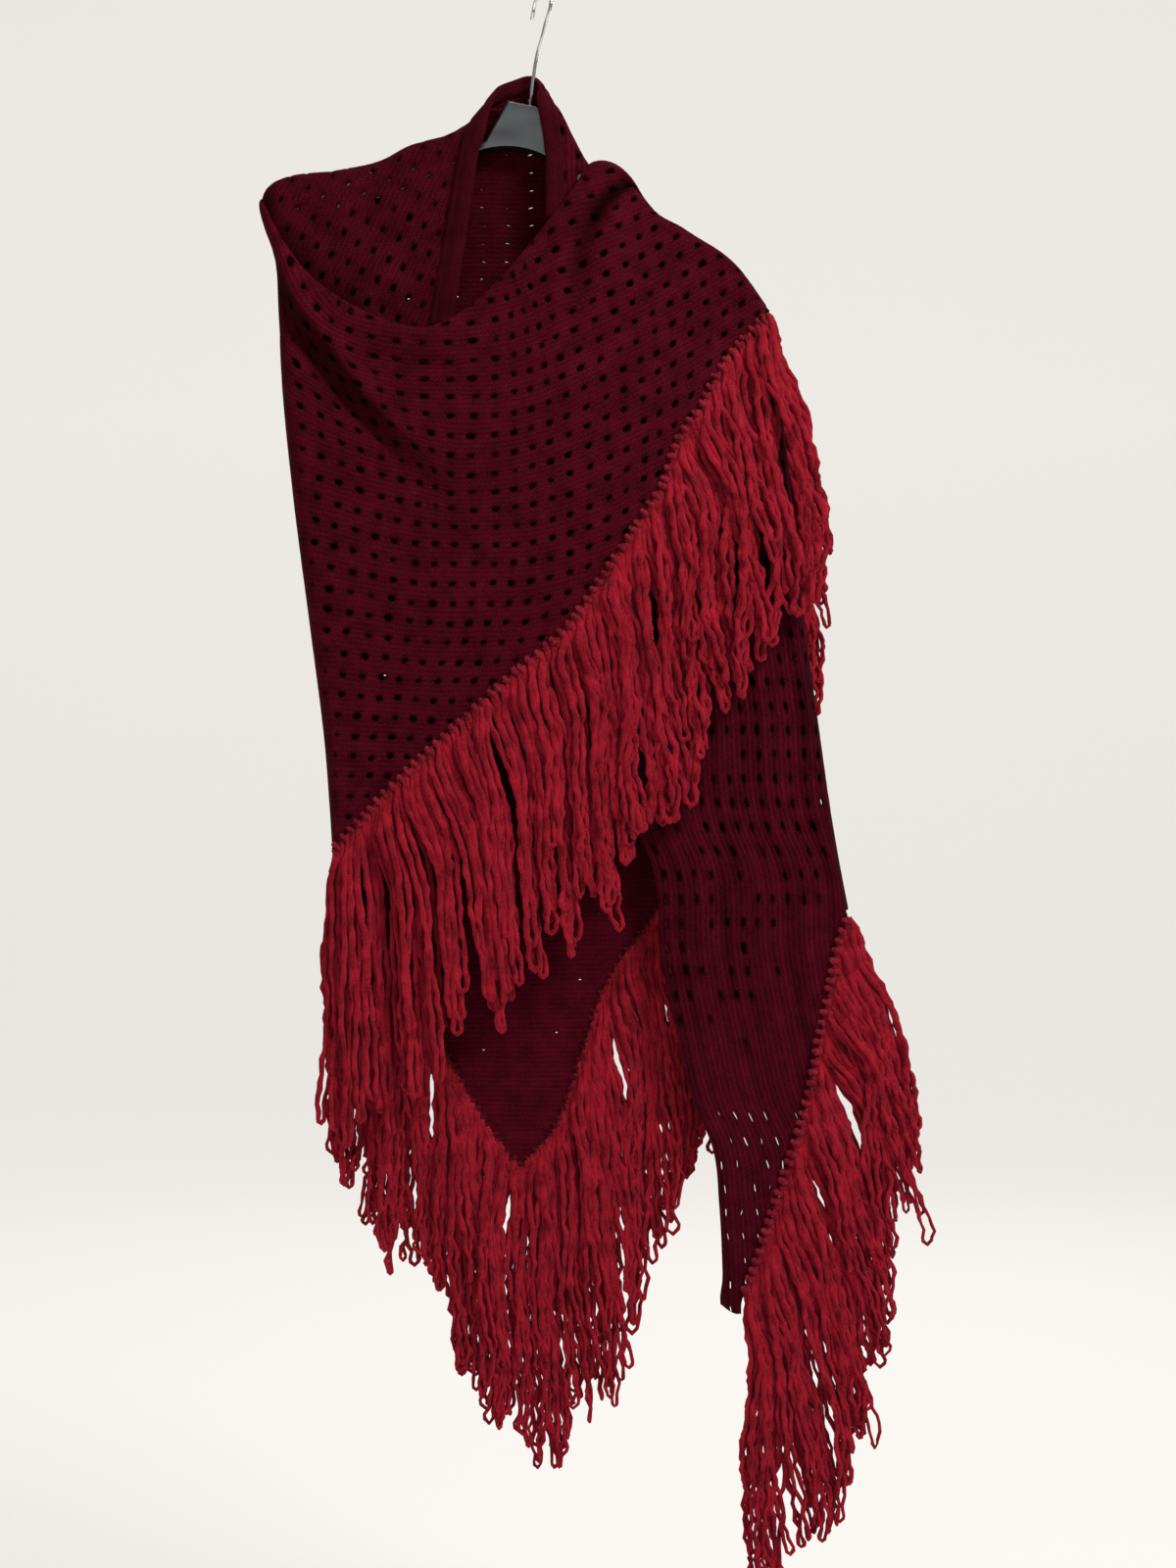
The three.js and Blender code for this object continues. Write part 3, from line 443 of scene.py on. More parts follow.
PLASTIC, nt, b = new_material("black_plastic")
b.inputs["Base Color"].default_value = (0.014, 0.0165, 0.018, 1)
b.inputs["Roughness"].default_value = 0.2
b.inputs["Coat Weight"].default_value = 1.0
b.inputs["Coat Roughness"].default_value = 0.26
n = node(nt, "ShaderNodeTexNoise")
n.inputs["Scale"].default_value = 9
n.inputs["Detail"].default_value = 0
bp = node(nt, "ShaderNodeBump")
bp.inputs["Strength"].default_value = 1.0
bp.inputs["Distance"].default_value = 0.0008
nt.links.new(n.outputs["Fac"], bp.inputs["Height"])
nt.links.new(bp.outputs["Normal"], b.inputs["Normal"])
nt.links.new(bp.outputs["Normal"], b.inputs["Coat Normal"])

# a darker, matte copy of the black plastic: painted shade for the hanger's underside
SHADE, nt, b = new_material("plastic_underside_painted_shade")
b.inputs["Base Color"].default_value = (0.003, 0.004, 0.004, 1)
b.inputs["Roughness"].default_value = 0.7
b.inputs["Specular IOR Level"].default_value = 0.1

STEEL, nt, b = new_material("polished_steel")
b.inputs["Base Color"].default_value = (0.72, 0.72, 0.72, 1)
b.inputs["Metallic"].default_value = 1.0
n = node(nt, "ShaderNodeTexNoise")
n.inputs["Scale"].default_value = 300
r = node(nt, "ShaderNodeMapRange")
r.inputs["To Min"].default_value = 0.10
r.inputs["To Max"].default_value = 0.2
nt.links.new(n.outputs["Fac"], r.inputs["Value"])
nt.links.new(r.outputs["Result"], b.inputs["Roughness"])

WALL, nt, b = new_material("paper_backdrop")
b.inputs["Base Color"].default_value = (0.30, 0.295, 0.285, 1)
b.inputs["Roughness"].default_value = 1.0
b.inputs["Specular IOR Level"].default_value = 0.0
b.inputs["Emission Color"].default_value = (1.0, 0.965, 0.92, 1)
b.inputs["Emission Strength"].default_value = 0.66


# ------------------------------------------------------------------ meshes
FLAT = {}


def flat_size(uv, faces):
    """width, length and area in metres of a sheet as cut, from its flat places in millimetres"""
    uv = np.asarray(uv) * MM
    used = uv[np.unique(np.concatenate([np.array(f) for f in faces]))]
    area = 0.0
    for f in faces:
        p = uv[list(f)]
        area += abs(np.dot(p[:, 0], np.roll(p[:, 1], -1)) - np.dot(p[:, 1], np.roll(p[:, 0], -1))) / 2
    w, l = used.max(0) - used.min(0)
    return float(w), float(l), float(area)


def make(name, verts, faces, material, uv=None, thick=0.0, smooth_=True, deep=None):
    """a piece from points in millimetres"""
    me = bpy.data.meshes.new(name)
    me.from_pydata((np.asarray(verts) * MM).tolist(), [], [list(map(int, f)) for f in faces])
    if uv is not None:
        layer = me.uv_layers.new(name="flat")
        loops = np.empty(len(me.loops), dtype=np.int32)
        me.loops.foreach_get("vertex_index", loops)
        layer.data.foreach_set("uv", (np.asarray(uv)[loops] * MM).astype(np.float32).ravel())
    # deep: painted shade for the knit's colour at each point, a painted highlight where below 0
    if deep is not None:
        me.attributes.new("deep", "FLOAT", "POINT").data.foreach_set("value", np.asarray(deep, dtype=np.float32))
    me.materials.append(material)
    ob = bpy.data.objects.new(name, me)
    scene.collection.objects.link(ob)
    if thick:
        FLAT[name] = flat_size(uv, faces)
        mod = ob.modifiers.new("thick", "SOLIDIFY")
        mod.thickness = thick * MM
        mod.offset = 0
        mod.use_rim = True
        done = bpy.data.meshes.new_from_object(ob.evaluated_get(bpy.context.evaluated_depsgraph_get()))
        ob.modifiers.clear()
        ob.data = done
        done.name = name
    if smooth_:
        ob.data.polygons.foreach_set("use_smooth", [True] * len(ob.data.polygons))
    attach(ob, "root")
    return ob


def chance(i, j, seed=0):
    v = math.sin(i * 12.9898 + j * 78.233 + seed * 3.7) * 43758.5453
    return v - math.floor(v)


def cells(i0, i1, j0, j1, size, n=3, seed=1, slit=0.135):
    """Flat cells of an eyelet knit, each with its hole. size(i, j): how big the hole is, 0 for none.
    Returns points in cell units and faces."""
    r = np.random.default_rng(seed)
    side = np.linspace(-0.5, 0.5, n + 1)[:-1]
    ring = np.array([(s, -0.5) for s in side] + [(0.5, s) for s in side] + [(-s, 0.5) for s in side] + [(-0.5, -s) for s in side])
    m = len(ring)
    ang = np.arctan2(ring[:, 1], ring[:, 0])
    pts, faces = [], []
    for j in range(j0, j1 + 1):
        for i in range(i0, i1 + 1):
            k = size(i, j)
            a, e = 0.172, slit
            if isinstance(k, tuple):
                k, e = k
            cx, cy = r.normal(0, 0.035, 2)
            turn_ = r.normal(0, 0.22)
            grow = k * (1 + r.normal(0, 0.13))
            if k <= 0:
                grow = 1.0
            hole = np.stack([a * grow * np.cos(ang) + cx, e * grow * np.sin(ang) + cy], 1)
            c, s = math.cos(turn_), math.sin(turn_)
            hole = (hole - (cx, cy)) @ np.array([[c, s], [-s, c]]) + (cx, cy)
            mid = ring * 0.42 + hole * 0.58
            pts.append((ring + (i, j), mid + (i, j), hole + (i, j), np.array([[cx + i, cy + j]]), k > 0))
    P, F = [], []
    at = 0
    for ring_, mid, hole, centre, holed in pts:
        P += [ring_, mid, hole, centre]
        idx = np.arange(m)
        nx = (idx + 1) % m
        for u, v in ((0, m), (m, 2 * m)):
            F += [(at + u + a, at + u + b_, at + v + b_, at + v + a) for a, b_ in zip(idx, nx)]
        if not holed:
            F += [(at + 2 * m + a, at + 2 * m + b_, at + 3 * m) for a, b_ in zip(idx, nx)]
        at += 3 * m + 1
    P = np.concatenate(P)
    key = np.round(P * 4000).astype(np.int64)
    _, first, inv = np.unique(key, axis=0, return_index=True, return_inverse=True)
    inv = inv.ravel()
    return P[first], [tuple(inv[k] for k in f) for f in F]


def rim(P, size, i0=0.30, i1=0.20):
    """1 at the rim of a hole, 0 away from it: the mask for painted shade round the holes"""
    ij = np.round(P).astype(int)
    has = {c: size(*c) for c in set(map(tuple, ij.tolist()))}
    there = np.array([1.0 if (has[tuple(c)][0] if isinstance(has[tuple(c)], tuple) else has[tuple(c)]) > 0 else 0.0 for c in ij.tolist()])
    return there * smooth(i0, i1, np.hypot(P[:, 0] - ij[:, 0], P[:, 1] - ij[:, 1]))


def clip(P, F, g):
    """keeps the part of a flat mesh where g is above 0"""
    inside = g > 0
    keep, cross = [], []
    for f in F:
        s = sum(inside[k] for k in f)
        if s == len(f):
            keep.append(f)
        elif s:
            cross.append(f)
    extra, table = [], {}
    def cut(a, c):
        key = (a, c) if a < c else (c, a)
        if key not in table:
            t = g[a] / (g[a] - g[c])
            table[key] = len(P) + len(extra)
            extra.append(P[a] + (P[c] - P[a]) * t)
        return table[key]
    for f in cross:
        out = []
        for a, c in zip(f, f[1:] + f[:1]):
            if inside[a]:
                out.append(a)
            if inside[a] != inside[c]:
                out.append(cut(a, c))
        if len(out) > 2:
            keep.append(tuple(out))
    if extra:
        P = np.concatenate([P, np.array(extra)])
    used = np.unique(np.concatenate([np.array(f) for f in keep]))
    new = np.full(len(P), -1)
    new[used] = np.arange(len(used))
    return P[used], [tuple(int(new[k]) for k in f) for f in keep]


def table2(rows):
    """(i, j) -> (x, z) from rows {j: [(i, x, z)]}: curves along each row, then between rows"""
    js = sorted(rows)
    fx = [curve([[r[0], r[1], r[2]] for r in rows[j]], 1) for j in js]
    fz = [curve([[r[0], r[1], r[2]] for r in rows[j]], 2) for j in js]
    def f(P):
        W = weights(js, P[:, 1])
        X = np.stack([q(P[:, 0]) for q in fx], 1)
        Z = np.stack([q(P[:, 0]) for q in fz], 1)
        return (W * X).sum(1), (W * Z).sum(1)
    return f


CXM, CZM = 39.16, -714.56


def at_depth(x, z, y):
    k = 1 + y / 2400.0
    return CXM + (x - CXM) * k, CZM + (z - CZM) * k


def ripple(x, z, big, small, seed):
    """an uneven surface: two sizes of noise"""
    out = np.empty(len(x))
    for k in range(len(x)):
        v = Vector((x[k] / 38 + seed, z[k] / 38, seed * 1.7))
        out[k] = big * noise.noise(v) + small * noise.noise(Vector((x[k] / 9 + seed, z[k] / 9, 3.1 + seed)))
    return out


# ------------------------------------------------------------------ the stretch across the front
FRONT_ROWS = {
    -6: [(-12, -150, -151.4), (-8, -128, -199.8), (-4, -114.8, -208.6), (-2, -105.2, -204.2), (0, -66.4, -199.8), (2, -41.8, -193.6), (4, -22.4, -182.2), (6, 12.8, -161.9),
         (8, 55, -149.6), (10, 87.6, -135.5)],
    -3: [(-12, -189.6, -177.8), (-10, -185.2, -199.8), (-8, -179.1, -221.8), (-6, -166.8, -241.1), (-4, -139.5, -251.7), (-2, -97.2, -253.4), (0, -55.9, -248.2),
         (2, -33, -241.1), (4, -11, -228.8), (6, 25.1, -211.2), (8, 63.8, -198), (10, 95.5, -182.2), (12, 127.2, -164.6)],
    0: [(-13, -235.4, -182.2), (-12, -227.5, -198), (-10, -211.6, -235.8), (-8, -193.2, -271.9), (-6, -173.8, -290.4), (-4, -135.1, -299.2), (-2, -88.4, -302.7),
        (0, -44.4, -297.4), (2, -18.9, -290.4), (4, 4, -279), (6, 39.2, -264.9), (8, 72.6, -248.2), (10, 102.5, -232.3), (12, 134.2, -213.8), (14, 165.9, -197.1)],
    2: [(-12, -258.3, -221.8), (-11, -248.6, -241.1), (-10, -238.9, -262.2), (-9, -227.5, -283.4), (-8, -212.5, -302.7), (-6, -175.6, -323.8), (-4, -132.4, -333.5),
        (-2, -86.7, -335.3), (0, -44.4, -332.6), (2, -14.5, -325.6), (4, 10.1, -314.2), (6, 45.3, -298.3), (8, 78.8, -282.5), (10, 109.6, -266.6),
        (12, 141.2, -248.2), (14, 172.9, -230.6)],
    4: [(-12, -258.3, -283.4), (-10, -227.5, -314.2), (-8, -196.7, -340.6), (-6, -166.8, -355.5), (-4, -129.8, -364.3), (-2, -84.9, -367), (0, -44.4, -366.1),
        (2, -12.8, -359.9), (4, 16.3, -348.5), (6, 50.6, -332.6), (8, 83.2, -316.8), (10, 114, -301), (12, 144.8, -283.4), (14, 175.6, -265.8)],
    8: [(-12, -253, -376.6), (-10, -217.8, -394.2), (-8, -182.6, -408.3), (-6, -146.5, -420.6), (-4, -112.2, -427.7), (-2, -84.9, -436.5), (0, -44.4, -435.6),
        (2, -11, -429.4), (4, 21.6, -418.9), (6, 56.8, -403), (8, 89.3, -388.1), (10, 116.6, -374), (12, 146.5, -356.4), (14, 176.4, -337.9)],
    12: [(-10, -223.1, -473.4), (-8, -187.9, -482.2), (-6, -151.8, -491.9), (-4, -115.7, -498.1), (-2, -81.4, -499.8), (0, -43.6, -499.8), (2, -10.1, -497.2),
         (4, 22.4, -489.3), (6, 56.8, -477), (8, 88.4, -461.1), (10, 118.4, -445.3), (12, 148.3, -429.4), (14, 178.2, -413.6)],
    16: [(-10, -230.1, -552.6), (-8, -194, -557.9), (-6, -156.2, -563.2), (-4, -121, -568.5), (-2, -84.9, -570.2), (0, -51.5, -569.4), (2, -18, -568.5),
         (3, 0.4, -565), (6, 53.2, -550.9), (10, 116.6, -521)],
    19.5: [(-10, -233.6, -619.5), (-7, -181.7, -624.8), (-5, -147.4, -628.3), (-3, -114, -631), (-1, -81.4, -631.8), (2, -31.2, -629.2), (6, 37.4, -619.5)],
    24: [(-10, -238.9, -705.8), (-6, -173.8, -707.5), (-4, -140.4, -707.5), (0, -75.2, -710.2), (4, -9.2, -705.8)],
    28: [(-10, -242.4, -777.9), (-6, -177.3, -778.8), (-4, -143.9, -779.7), (0, -79.6, -781.4)],
}
front_place = table2(FRONT_ROWS)
left_edge = lambda z: left_fold(np.clip(z, -785, -182.2))


def front_fields(P):
    xp, zp = front_place(P)
    y0 = front_depth_0(xp, zp)
    x, z = at_depth(xp, zp, y0)
    return x, z


def slope(f, x, h=2.0):
    return (f(x + h) - f(x - h)) / (2 * h)


def front_shape(P):
    """points of the front stretch, wrapped round the left fold and over its top edge"""
    x, z = front_fields(P)
    # round the left fold
    d = x - left_edge(z)
    yf = front_depth(np.maximum(x, left_edge(z) + RING_LEFT * 0.6), z)
    yb = back_depth(left_edge(z) + RING_LEFT, z)
    ins, yl, _ = turn(d, RING_LEFT, yf, yb)
    xl = left_edge(z) + ins
    # over the top edge
    xt = np.clip(xl, -253, 201.1)
    s = slope(front_top, xt)
    root = np.sqrt(1 + s * s)
    dt = (front_top(xt) - z) / root
    inner = front_depth(xt, front_top(xt) - TURN) + 9.5 - 4.5 * smooth(-31.2, 12.8, xt)
    inner = np.minimum(np.maximum(yl + 4.5, shoulder_depth_0(front_top(xt) - 10) - 4.0), inner)
    tail = tail_depth(front_top(xt))
    back = np.where(xt < 39.2, inner, mix(inner, tail, smooth(33.9, 49.7, xt)))
    r = TURN
    rd = (back - yl) / 2
    arc = np.pi * np.sqrt((r * r + rd * rd) / 2)
    q = np.clip((r - dt) / arc, 0, 1) * np.pi
    past = np.maximum(0, (r - arc) - dt)
    ins_t = np.where(dt >= r, dt, r * (1 - np.sin(q)) + past)
    yl = yl - 2.0 * smooth(0, 8, ins - RING_LEFT) * (d < 0)
    left_part = smooth(-253.9, -246, xl) * smooth(-16, -6, d)     # the top edge fades out towards the left fold
    y = np.where(dt >= r, yl, mix(yl, (yl + back) / 2 - rd * np.cos(q), left_part))
    zt = np.where((dt >= r) | (d < -16), z, mix(z, front_top(xt) - ins_t * root, smooth(-16, -6, d)))
    xl = np.where(zt < z - 0.01, np.maximum(xl, left_edge(zt) + 1.5), xl)
    return xl, y, zt, dt, d


def front_stretch():
    def size(i, j):
        x, z = front_fields(np.array([[float(i), float(j)]]))
        d = (x - left_edge(z))[0]
        return 0.0 if d < 3 else 0.6 if d < 14 else 0.92 + 0.16 * chance(i, j, 4)
    P, F = cells(-16, 15, -9, 28, size, 4, 11)
    x, z = front_fields(P)
    P, F = clip(P, F, np.minimum(z - front_hem(np.clip(x, -224.8, 206.4)) + 0.5, 300 - np.abs(x)))
    x, z = front_fields(P)
    d = x - left_edge(z)
    arc = np.pi * np.sqrt((RING_LEFT ** 2 + 20 ** 2) / 2)
    P, F = clip(P, F, d - (RING_LEFT - arc * 0.97) + 12)
    x, z = front_fields(P)
    d = x - left_edge(z)
    P, F = clip(P, F, np.where(d < -9, -197.1 - z, 1.0))
    x, z = front_fields(P)
    behind = x - left_edge(z) < -9
    xt = np.clip(x, -253, 201.1)
    s = slope(front_top, xt)
    dt = (front_top(xt) - z) / np.sqrt(1 + s * s)
    reach = mix(2, 14, smooth(-253, -238, xt)) + 40 * np.sin(np.pi * np.clip((xt - -238) / (33.9 - -238), 0, 1)) ** 0.7
    ridge = smooth(30.4, 44.4, xt)
    low = np.pi * np.sqrt((49 + 28 ** 2) / 2) * 0.5 - TURN
    P, F = clip(P, F, np.where(behind, 1.0, dt + mix(reach, 12, ridge)))
    x, z = front_fields(P)
    P, F = clip(P, F, 198.4 - x)
    X, Y, Z, dt, d = front_shape(P)
    Y = Y + ripple(X, Z, 1.3, 0.5, 2.3) * smooth(0, 6, dt)
    uv = np.stack([P[:, 0] * 21.0, P[:, 1] * 17.5], 1)
    # painted shade in the strap crease with a painted highlight beside it, painted shade in the band's recess and where
    # the cloth turns under the top edge, a painted highlight beside the band, and painted shade round the holes
    dd, sh = near_line(STRAP, X, Z)
    deep = 0.88 * np.exp(-((dd + 1.5) / 7.0) ** 2) * (1 - 0.45 * smooth(0.25, 0.5, sh)) * (1 - smooth(0.55, 0.98, sh)) * smooth(-1, 4, dt)
    deep = deep - 0.25 * np.exp(-((dd - 13) / 8.0) ** 2) * (1 - smooth(0.1, 0.5, sh))
    db, sb = near_line(BAND, X, Z)
    deep = deep + 0.60 * smooth(-22, 3, db) * smooth(9.5, 5.5, db) * (1 - smooth(0.4, 0.95, sb))
    deep = deep + 0.35 * smooth(-4, -14, dt) - 0.22 * np.exp(-((db - 16) / 8) ** 2) * (1 - smooth(0.2, 0.8, sb))
    deep = deep + 0.30 * rim(P, size)
    return make("shawl_front", np.stack([X, Y, Z], 1), F, KNIT, uv, 1.7, deep=np.clip(deep, -0.3, 0.85))


# ------------------------------------------------------------------ over the left arm, inner wall of the cowl
def shoulder_stretch():
    place = lambda P: at_depth(-117.5 - 9.2 * P[:, 0] + 13.6 * P[:, 1],
                               -160.2 - 18.9 * P[:, 0] - 7.7 * P[:, 1], -12.0)
    def size(i, j):
        x, z = place(np.array([[float(i), float(j)]]))
        deep = shoulder_top(x)[0] - z[0]
        return 0.0 if x[0] < left_edge(z)[0] + 14 else 0.55 if deep < 26 else 0.72 if deep < 60 else 0.9
    P, F = cells(-5, 16, -9, 11, size, 3, 12)
    x, z = place(P)
    under_roll = curve([[-98.6, -46.2], [-111.8, -51.5], [-125, -55.9], [-151.4, -62], [-230.6, -73.5], [-309.8, -85.8]])
    P, F = clip(P, F, np.minimum(x - np.maximum(-254.8, left_edge(z) + 1.0), under_roll(z) - x))
    def top_distance(x, z):
        s = slope(shoulder_top, x, 4)
        root = np.sqrt(1 + s * s)
        return (shoulder_top(x) - z) / root, root
    x, z = place(P)
    d, root = top_distance(x, z)
    low = curve([[-253, -230.6], [-240.7, -265.8], [-198.4, -337.9], [-154.4, -362.6], [-101.6, -369.6], [-61.2, -364.3]])
    rd = (14 + 9.5) / 2
    arc = np.pi * np.sqrt((ARM ** 2 + rd ** 2) / 2)
    P, F = clip(P, F, np.minimum(z - low(x), d - (ARM - arc) + 4))
    x, z = place(P)
    d, root = top_distance(x, z)
    yf = shoulder_depth(x, z)
    end = smooth(-231.9, -251.2, x)      # the left end tapers into the left fold
    ins, y, share = turn(d, ARM, yf, np.full(len(x), 14.0))
    y = mix(y, np.clip(y, -8, 9), end)
    Z = shoulder_top(x) - ins * root
    x = np.where(d < ARM, np.maximum(x, left_edge(Z) + 2.5 * smooth(-191, -205.9, Z)), x)
    Y = y + ripple(x, Z, 1.0, 0.45, 5.1) * smooth(0, 8, d)
    # painted shade: a little all over, more beside the front's top edge, and round the holes
    deep = 0.10 + 0.45 * smooth(38, 2, Z - front_top(np.clip(x, -253, 30.4))) * smooth(-126.3, -180.8, x) + 0.32 * rim(P, size)
    return make("shawl_shoulder", np.stack([x, Y, Z], 1), F, KNIT, np.stack([P[:, 0] * 20.6, P[:, 1] * 15.6], 1), 1.7, deep=np.clip(deep, 0, 0.8))


# ------------------------------------------------------------------ back
def back_stretch():
    ci, cj = np.meshgrid(np.arange(-16, 16), np.arange(-9, 29))
    hx, hy, hz = front_shape(np.stack([ci.ravel(), cj.ravel()], 1).astype(float))[:3]
    k = 2414 / (2400 + hy)
    hx, hz = 39.16 + (hx - 39.16) * k, -714.56 + (hz + 714.56) * k
    def size(i, j):
        z = -j * 16.2
        if z < -617.8:
            return 0.26 if chance(i, j, 3) < 0.03 else 0.0
        neck_ = -75.2 < i * 22.0 - 12.0 < 30.4 and z > -257
        lit = i * 22.0 - 12.0 > -13.6 or (z < -209.4 and i * 22.0 - 12.0 > -41.8)
        if neck_:
            return (0.52 + 0.1 * chance(i, j, 5), 0.046) if lit else (0.42, 0.034)
        if (((hx - i * 22.0 + 12.0) / 5.6) ** 2 + ((hz - z) / 3.8) ** 2).min() < 1:
            return 0.0
        return 0.34 * (0.75 + 0.4 * chance(i, j, 5))
    P, F = cells(-14, 15, 3, 66, size, 3, 13, 0.095)
    place = lambda P: (P[:, 0] * 22.0 - 12.0, -P[:, 1] * 16.2)
    x, z = place(P)
    ends = lambda z: (left_fold(np.clip(z, -776.2, -182.2)) + RING_LEFT - 1,
                      right_fold(np.clip(z, -833.4, -248.2)) - RING_RIGHT + 1)
    le, re = ends(z)
    P, F = clip(P, F, np.minimum(x - le, re - x))
    x, z = place(P)
    P, F = clip(P, F, back_top(x) - z)
    x, z = place(P)
    s = slope(back_hem, x, 3)
    P, F = clip(P, F, z - back_hem(x) + 3.4 * np.sqrt(1 + np.minimum(s * s, 9)))
    x, z = place(P)
    le, re = ends(z)
    Y = back_depth(x, z)
    d1 = curve([[-1066.6, 0.0], [-626.6, 26.0], [-230.6, 0.0]])
    Y = Y + 2.2 * np.sin((x + d1(z)) / 17) * smooth(-150, -420, z) * smooth(30.4, -31.2, x)
    Y = Y + ripple(x, z, 1.8, 0.5, 8.4) * smooth(0, 25, x - le) * smooth(0, 25, re - x)
    # painted shade inside the neck
    deep = 0.28 * smooth(-91.1, -66.4, x) * smooth(39.2, 17.2, x) * smooth(-327.4, -230.6, z)
    return make("shawl_back", np.stack([x, Y, z], 1), F, KNIT, np.stack([P[:, 0] * 22.0, P[:, 1] * 16.2], 1), 1.7, deep=deep)


# ------------------------------------------------------------------ the right half, down in front to its point
DROP_ROW, DROP_STEP = 21.5, 13.6
DROP_TOP_2 = [[-13.6, -79.2], [-5.7, -82.7], [4, -97.7], [13.6, -110], [25.1, -132.9], [36.5, -154], [49.7, -170.7], [92, -199.8], [134.2, -230.6], [168.5, -257.8], [206.4, -290.4]]
DROP_SIDE = [[-72.2, -9.2], [-98.6, -2.2], [-125, 6.6], [-154, 11], [-213, 14.5], [-274.6, 28.6], [-327.4, 34.8]]
drop_side = curve(DROP_SIDE)
drop_ridge = curve(DROP_TOP_2)


def drop_stretch():
    def size(i, j):
        z = -i * DROP_ROW
        x = drop_in(np.array([z]))[0] + DROP_STEP * (j + 0.5)
        c = chance(i, j, 9)
        if z > -956.6:
            return 0.0 if chance(i, j, 8) < (0.2 if z > -855.4 else 0.35) or (z < -890.6 and x > 188.8) or (x > 211.6 and z < -837.8) or (x > 248.6 and z < -758.6) else 0.82 + 0.3 * c
        if z > -1003.2:
            return 0.0
        return 0.0 if chance(i, j, 8) < 0.16 else (0.74 + 0.3 * c, 0.027 + 0.012 * c)
    P, F = cells(2, 57, -5, 15, size, 3, 14, 0.115)
    def place(P):
        z = -P[:, 0] * DROP_ROW
        return drop_in(z) + DROP_STEP * (P[:, 1] + 0.5) - 2.2 * np.sin(z / 90.0), z
    x, z = place(P)
    out = np.where(z > -825.4, 1e3, drop_out(np.clip(z, -1176.6, -832.5)) + 2.4 - x)
    side_ = np.where(z > -327.4, drop_side(np.maximum(z, -327.4)), drop_in(z))
    P, F = clip(P, F, np.minimum(x - side_, out))
    x, z = place(P)
    P, F = clip(P, F, z - mix(-1176.6, -1187.1, smooth(156.2, 172.9, x)))
    x, z = place(P)
    def right_distance(x, z):
        return right_fold(np.clip(z, -833.4, -248.2)) - x
    d = right_distance(x, z)
    arc = np.pi * np.sqrt((RING_RIGHT ** 2 + 17 ** 2) / 2)
    P, F = clip(P, F, np.where(z > -825.4, np.where(z < -314.2, d - (RING_RIGHT - arc), d - 1.0), d + 0.5))
    x, z = place(P)
    def top_distance(x, z):
        xt = np.clip(x, -12.8, 206.4)
        s = slope(drop_ridge, xt, 4)
        root = np.sqrt(1 + s * s)
        return (drop_ridge(xt) - z) / root, root
    d, root = top_distance(x, z)
    rd = (14 + 9.5) / 2
    arc2 = np.pi * np.sqrt((ARM ** 2 + rd ** 2) / 2)
    P, F = clip(P, F, d - (ARM - arc2) + 4)
    x, z = place(P)
    d, root = top_distance(x, z)
    yf = drop_depth(x, z)
    ins, y, share = turn(d, ARM, yf, np.full(len(x), 14.0))
    Z = np.where(d < ARM, drop_ridge(np.clip(x, -12.8, 206.4)) - ins * root, z)
    dr = right_distance(x, Z)
    insr, yr, _ = turn(dr, RING_RIGHT, y, back_depth(right_fold(np.clip(Z, -833.4, -248.2)) - RING_RIGHT, Z))
    k = smooth(-842.2, -826.3, Z) * smooth(ARM * 0.6, ARM * 1.6, d)
    X = mix(x, right_fold(np.clip(Z, -833.4, -248.2)) - insr, k)
    Y = mix(y, yr, k)
    Y = Y + ripple(X, Z, 1.2, 0.5, 11.2) * smooth(0, 8, d) * smooth(0, 8, dr * k + 20 * (1 - k))
    # painted shade and highlight: light and dark along the ribs, painted shade by the plain edge, by the right fold and
    # round the upper holes
    deep = -0.20 + 0.17 * np.cos(2 * np.pi * P[:, 1] + 0.9 * np.sin(Z / 47)) + ripple(X * 2.2, Z * 0.35, 0.42, 0.0, 4.4)
    deep = deep + 0.30 * smooth(22, 0, X - drop_in(Z)) * smooth(-556.2, -679.4, Z) + 0.22 * smooth(26, 0, dr)
    deep = deep + 0.62 * rim(P, size) * (Z > -978.6)
    X = X - 3.0 * smooth(-1152.8, -1173.9, Z) * smooth(16, 0, X - drop_in(Z))
    return make("shawl_drop", np.stack([X, Y, Z], 1), F, KNIT_RIB, np.stack([P[:, 0] * DROP_ROW, P[:, 1] * DROP_STEP], 1), 1.7,
                deep=np.clip(deep, -0.55, 0.8))


# ------------------------------------------------------------------ the tail, over the right shoulder and down behind
tail_in = curve([[-125, 39.2], [-170.7, 44.4], [-362.6, 74.4], [-582.6, 109.6], [-815.8, 136], [-855.4, 141.2]])
tail_out = curve([[-230.6, 202], [-293.9, 202.8], [-380.2, 204.6], [-485.8, 198.4], [-609, 185.2], [-733.9, 167.6],
                  [-821.9, 148.3], [-855.4, 142.1]])


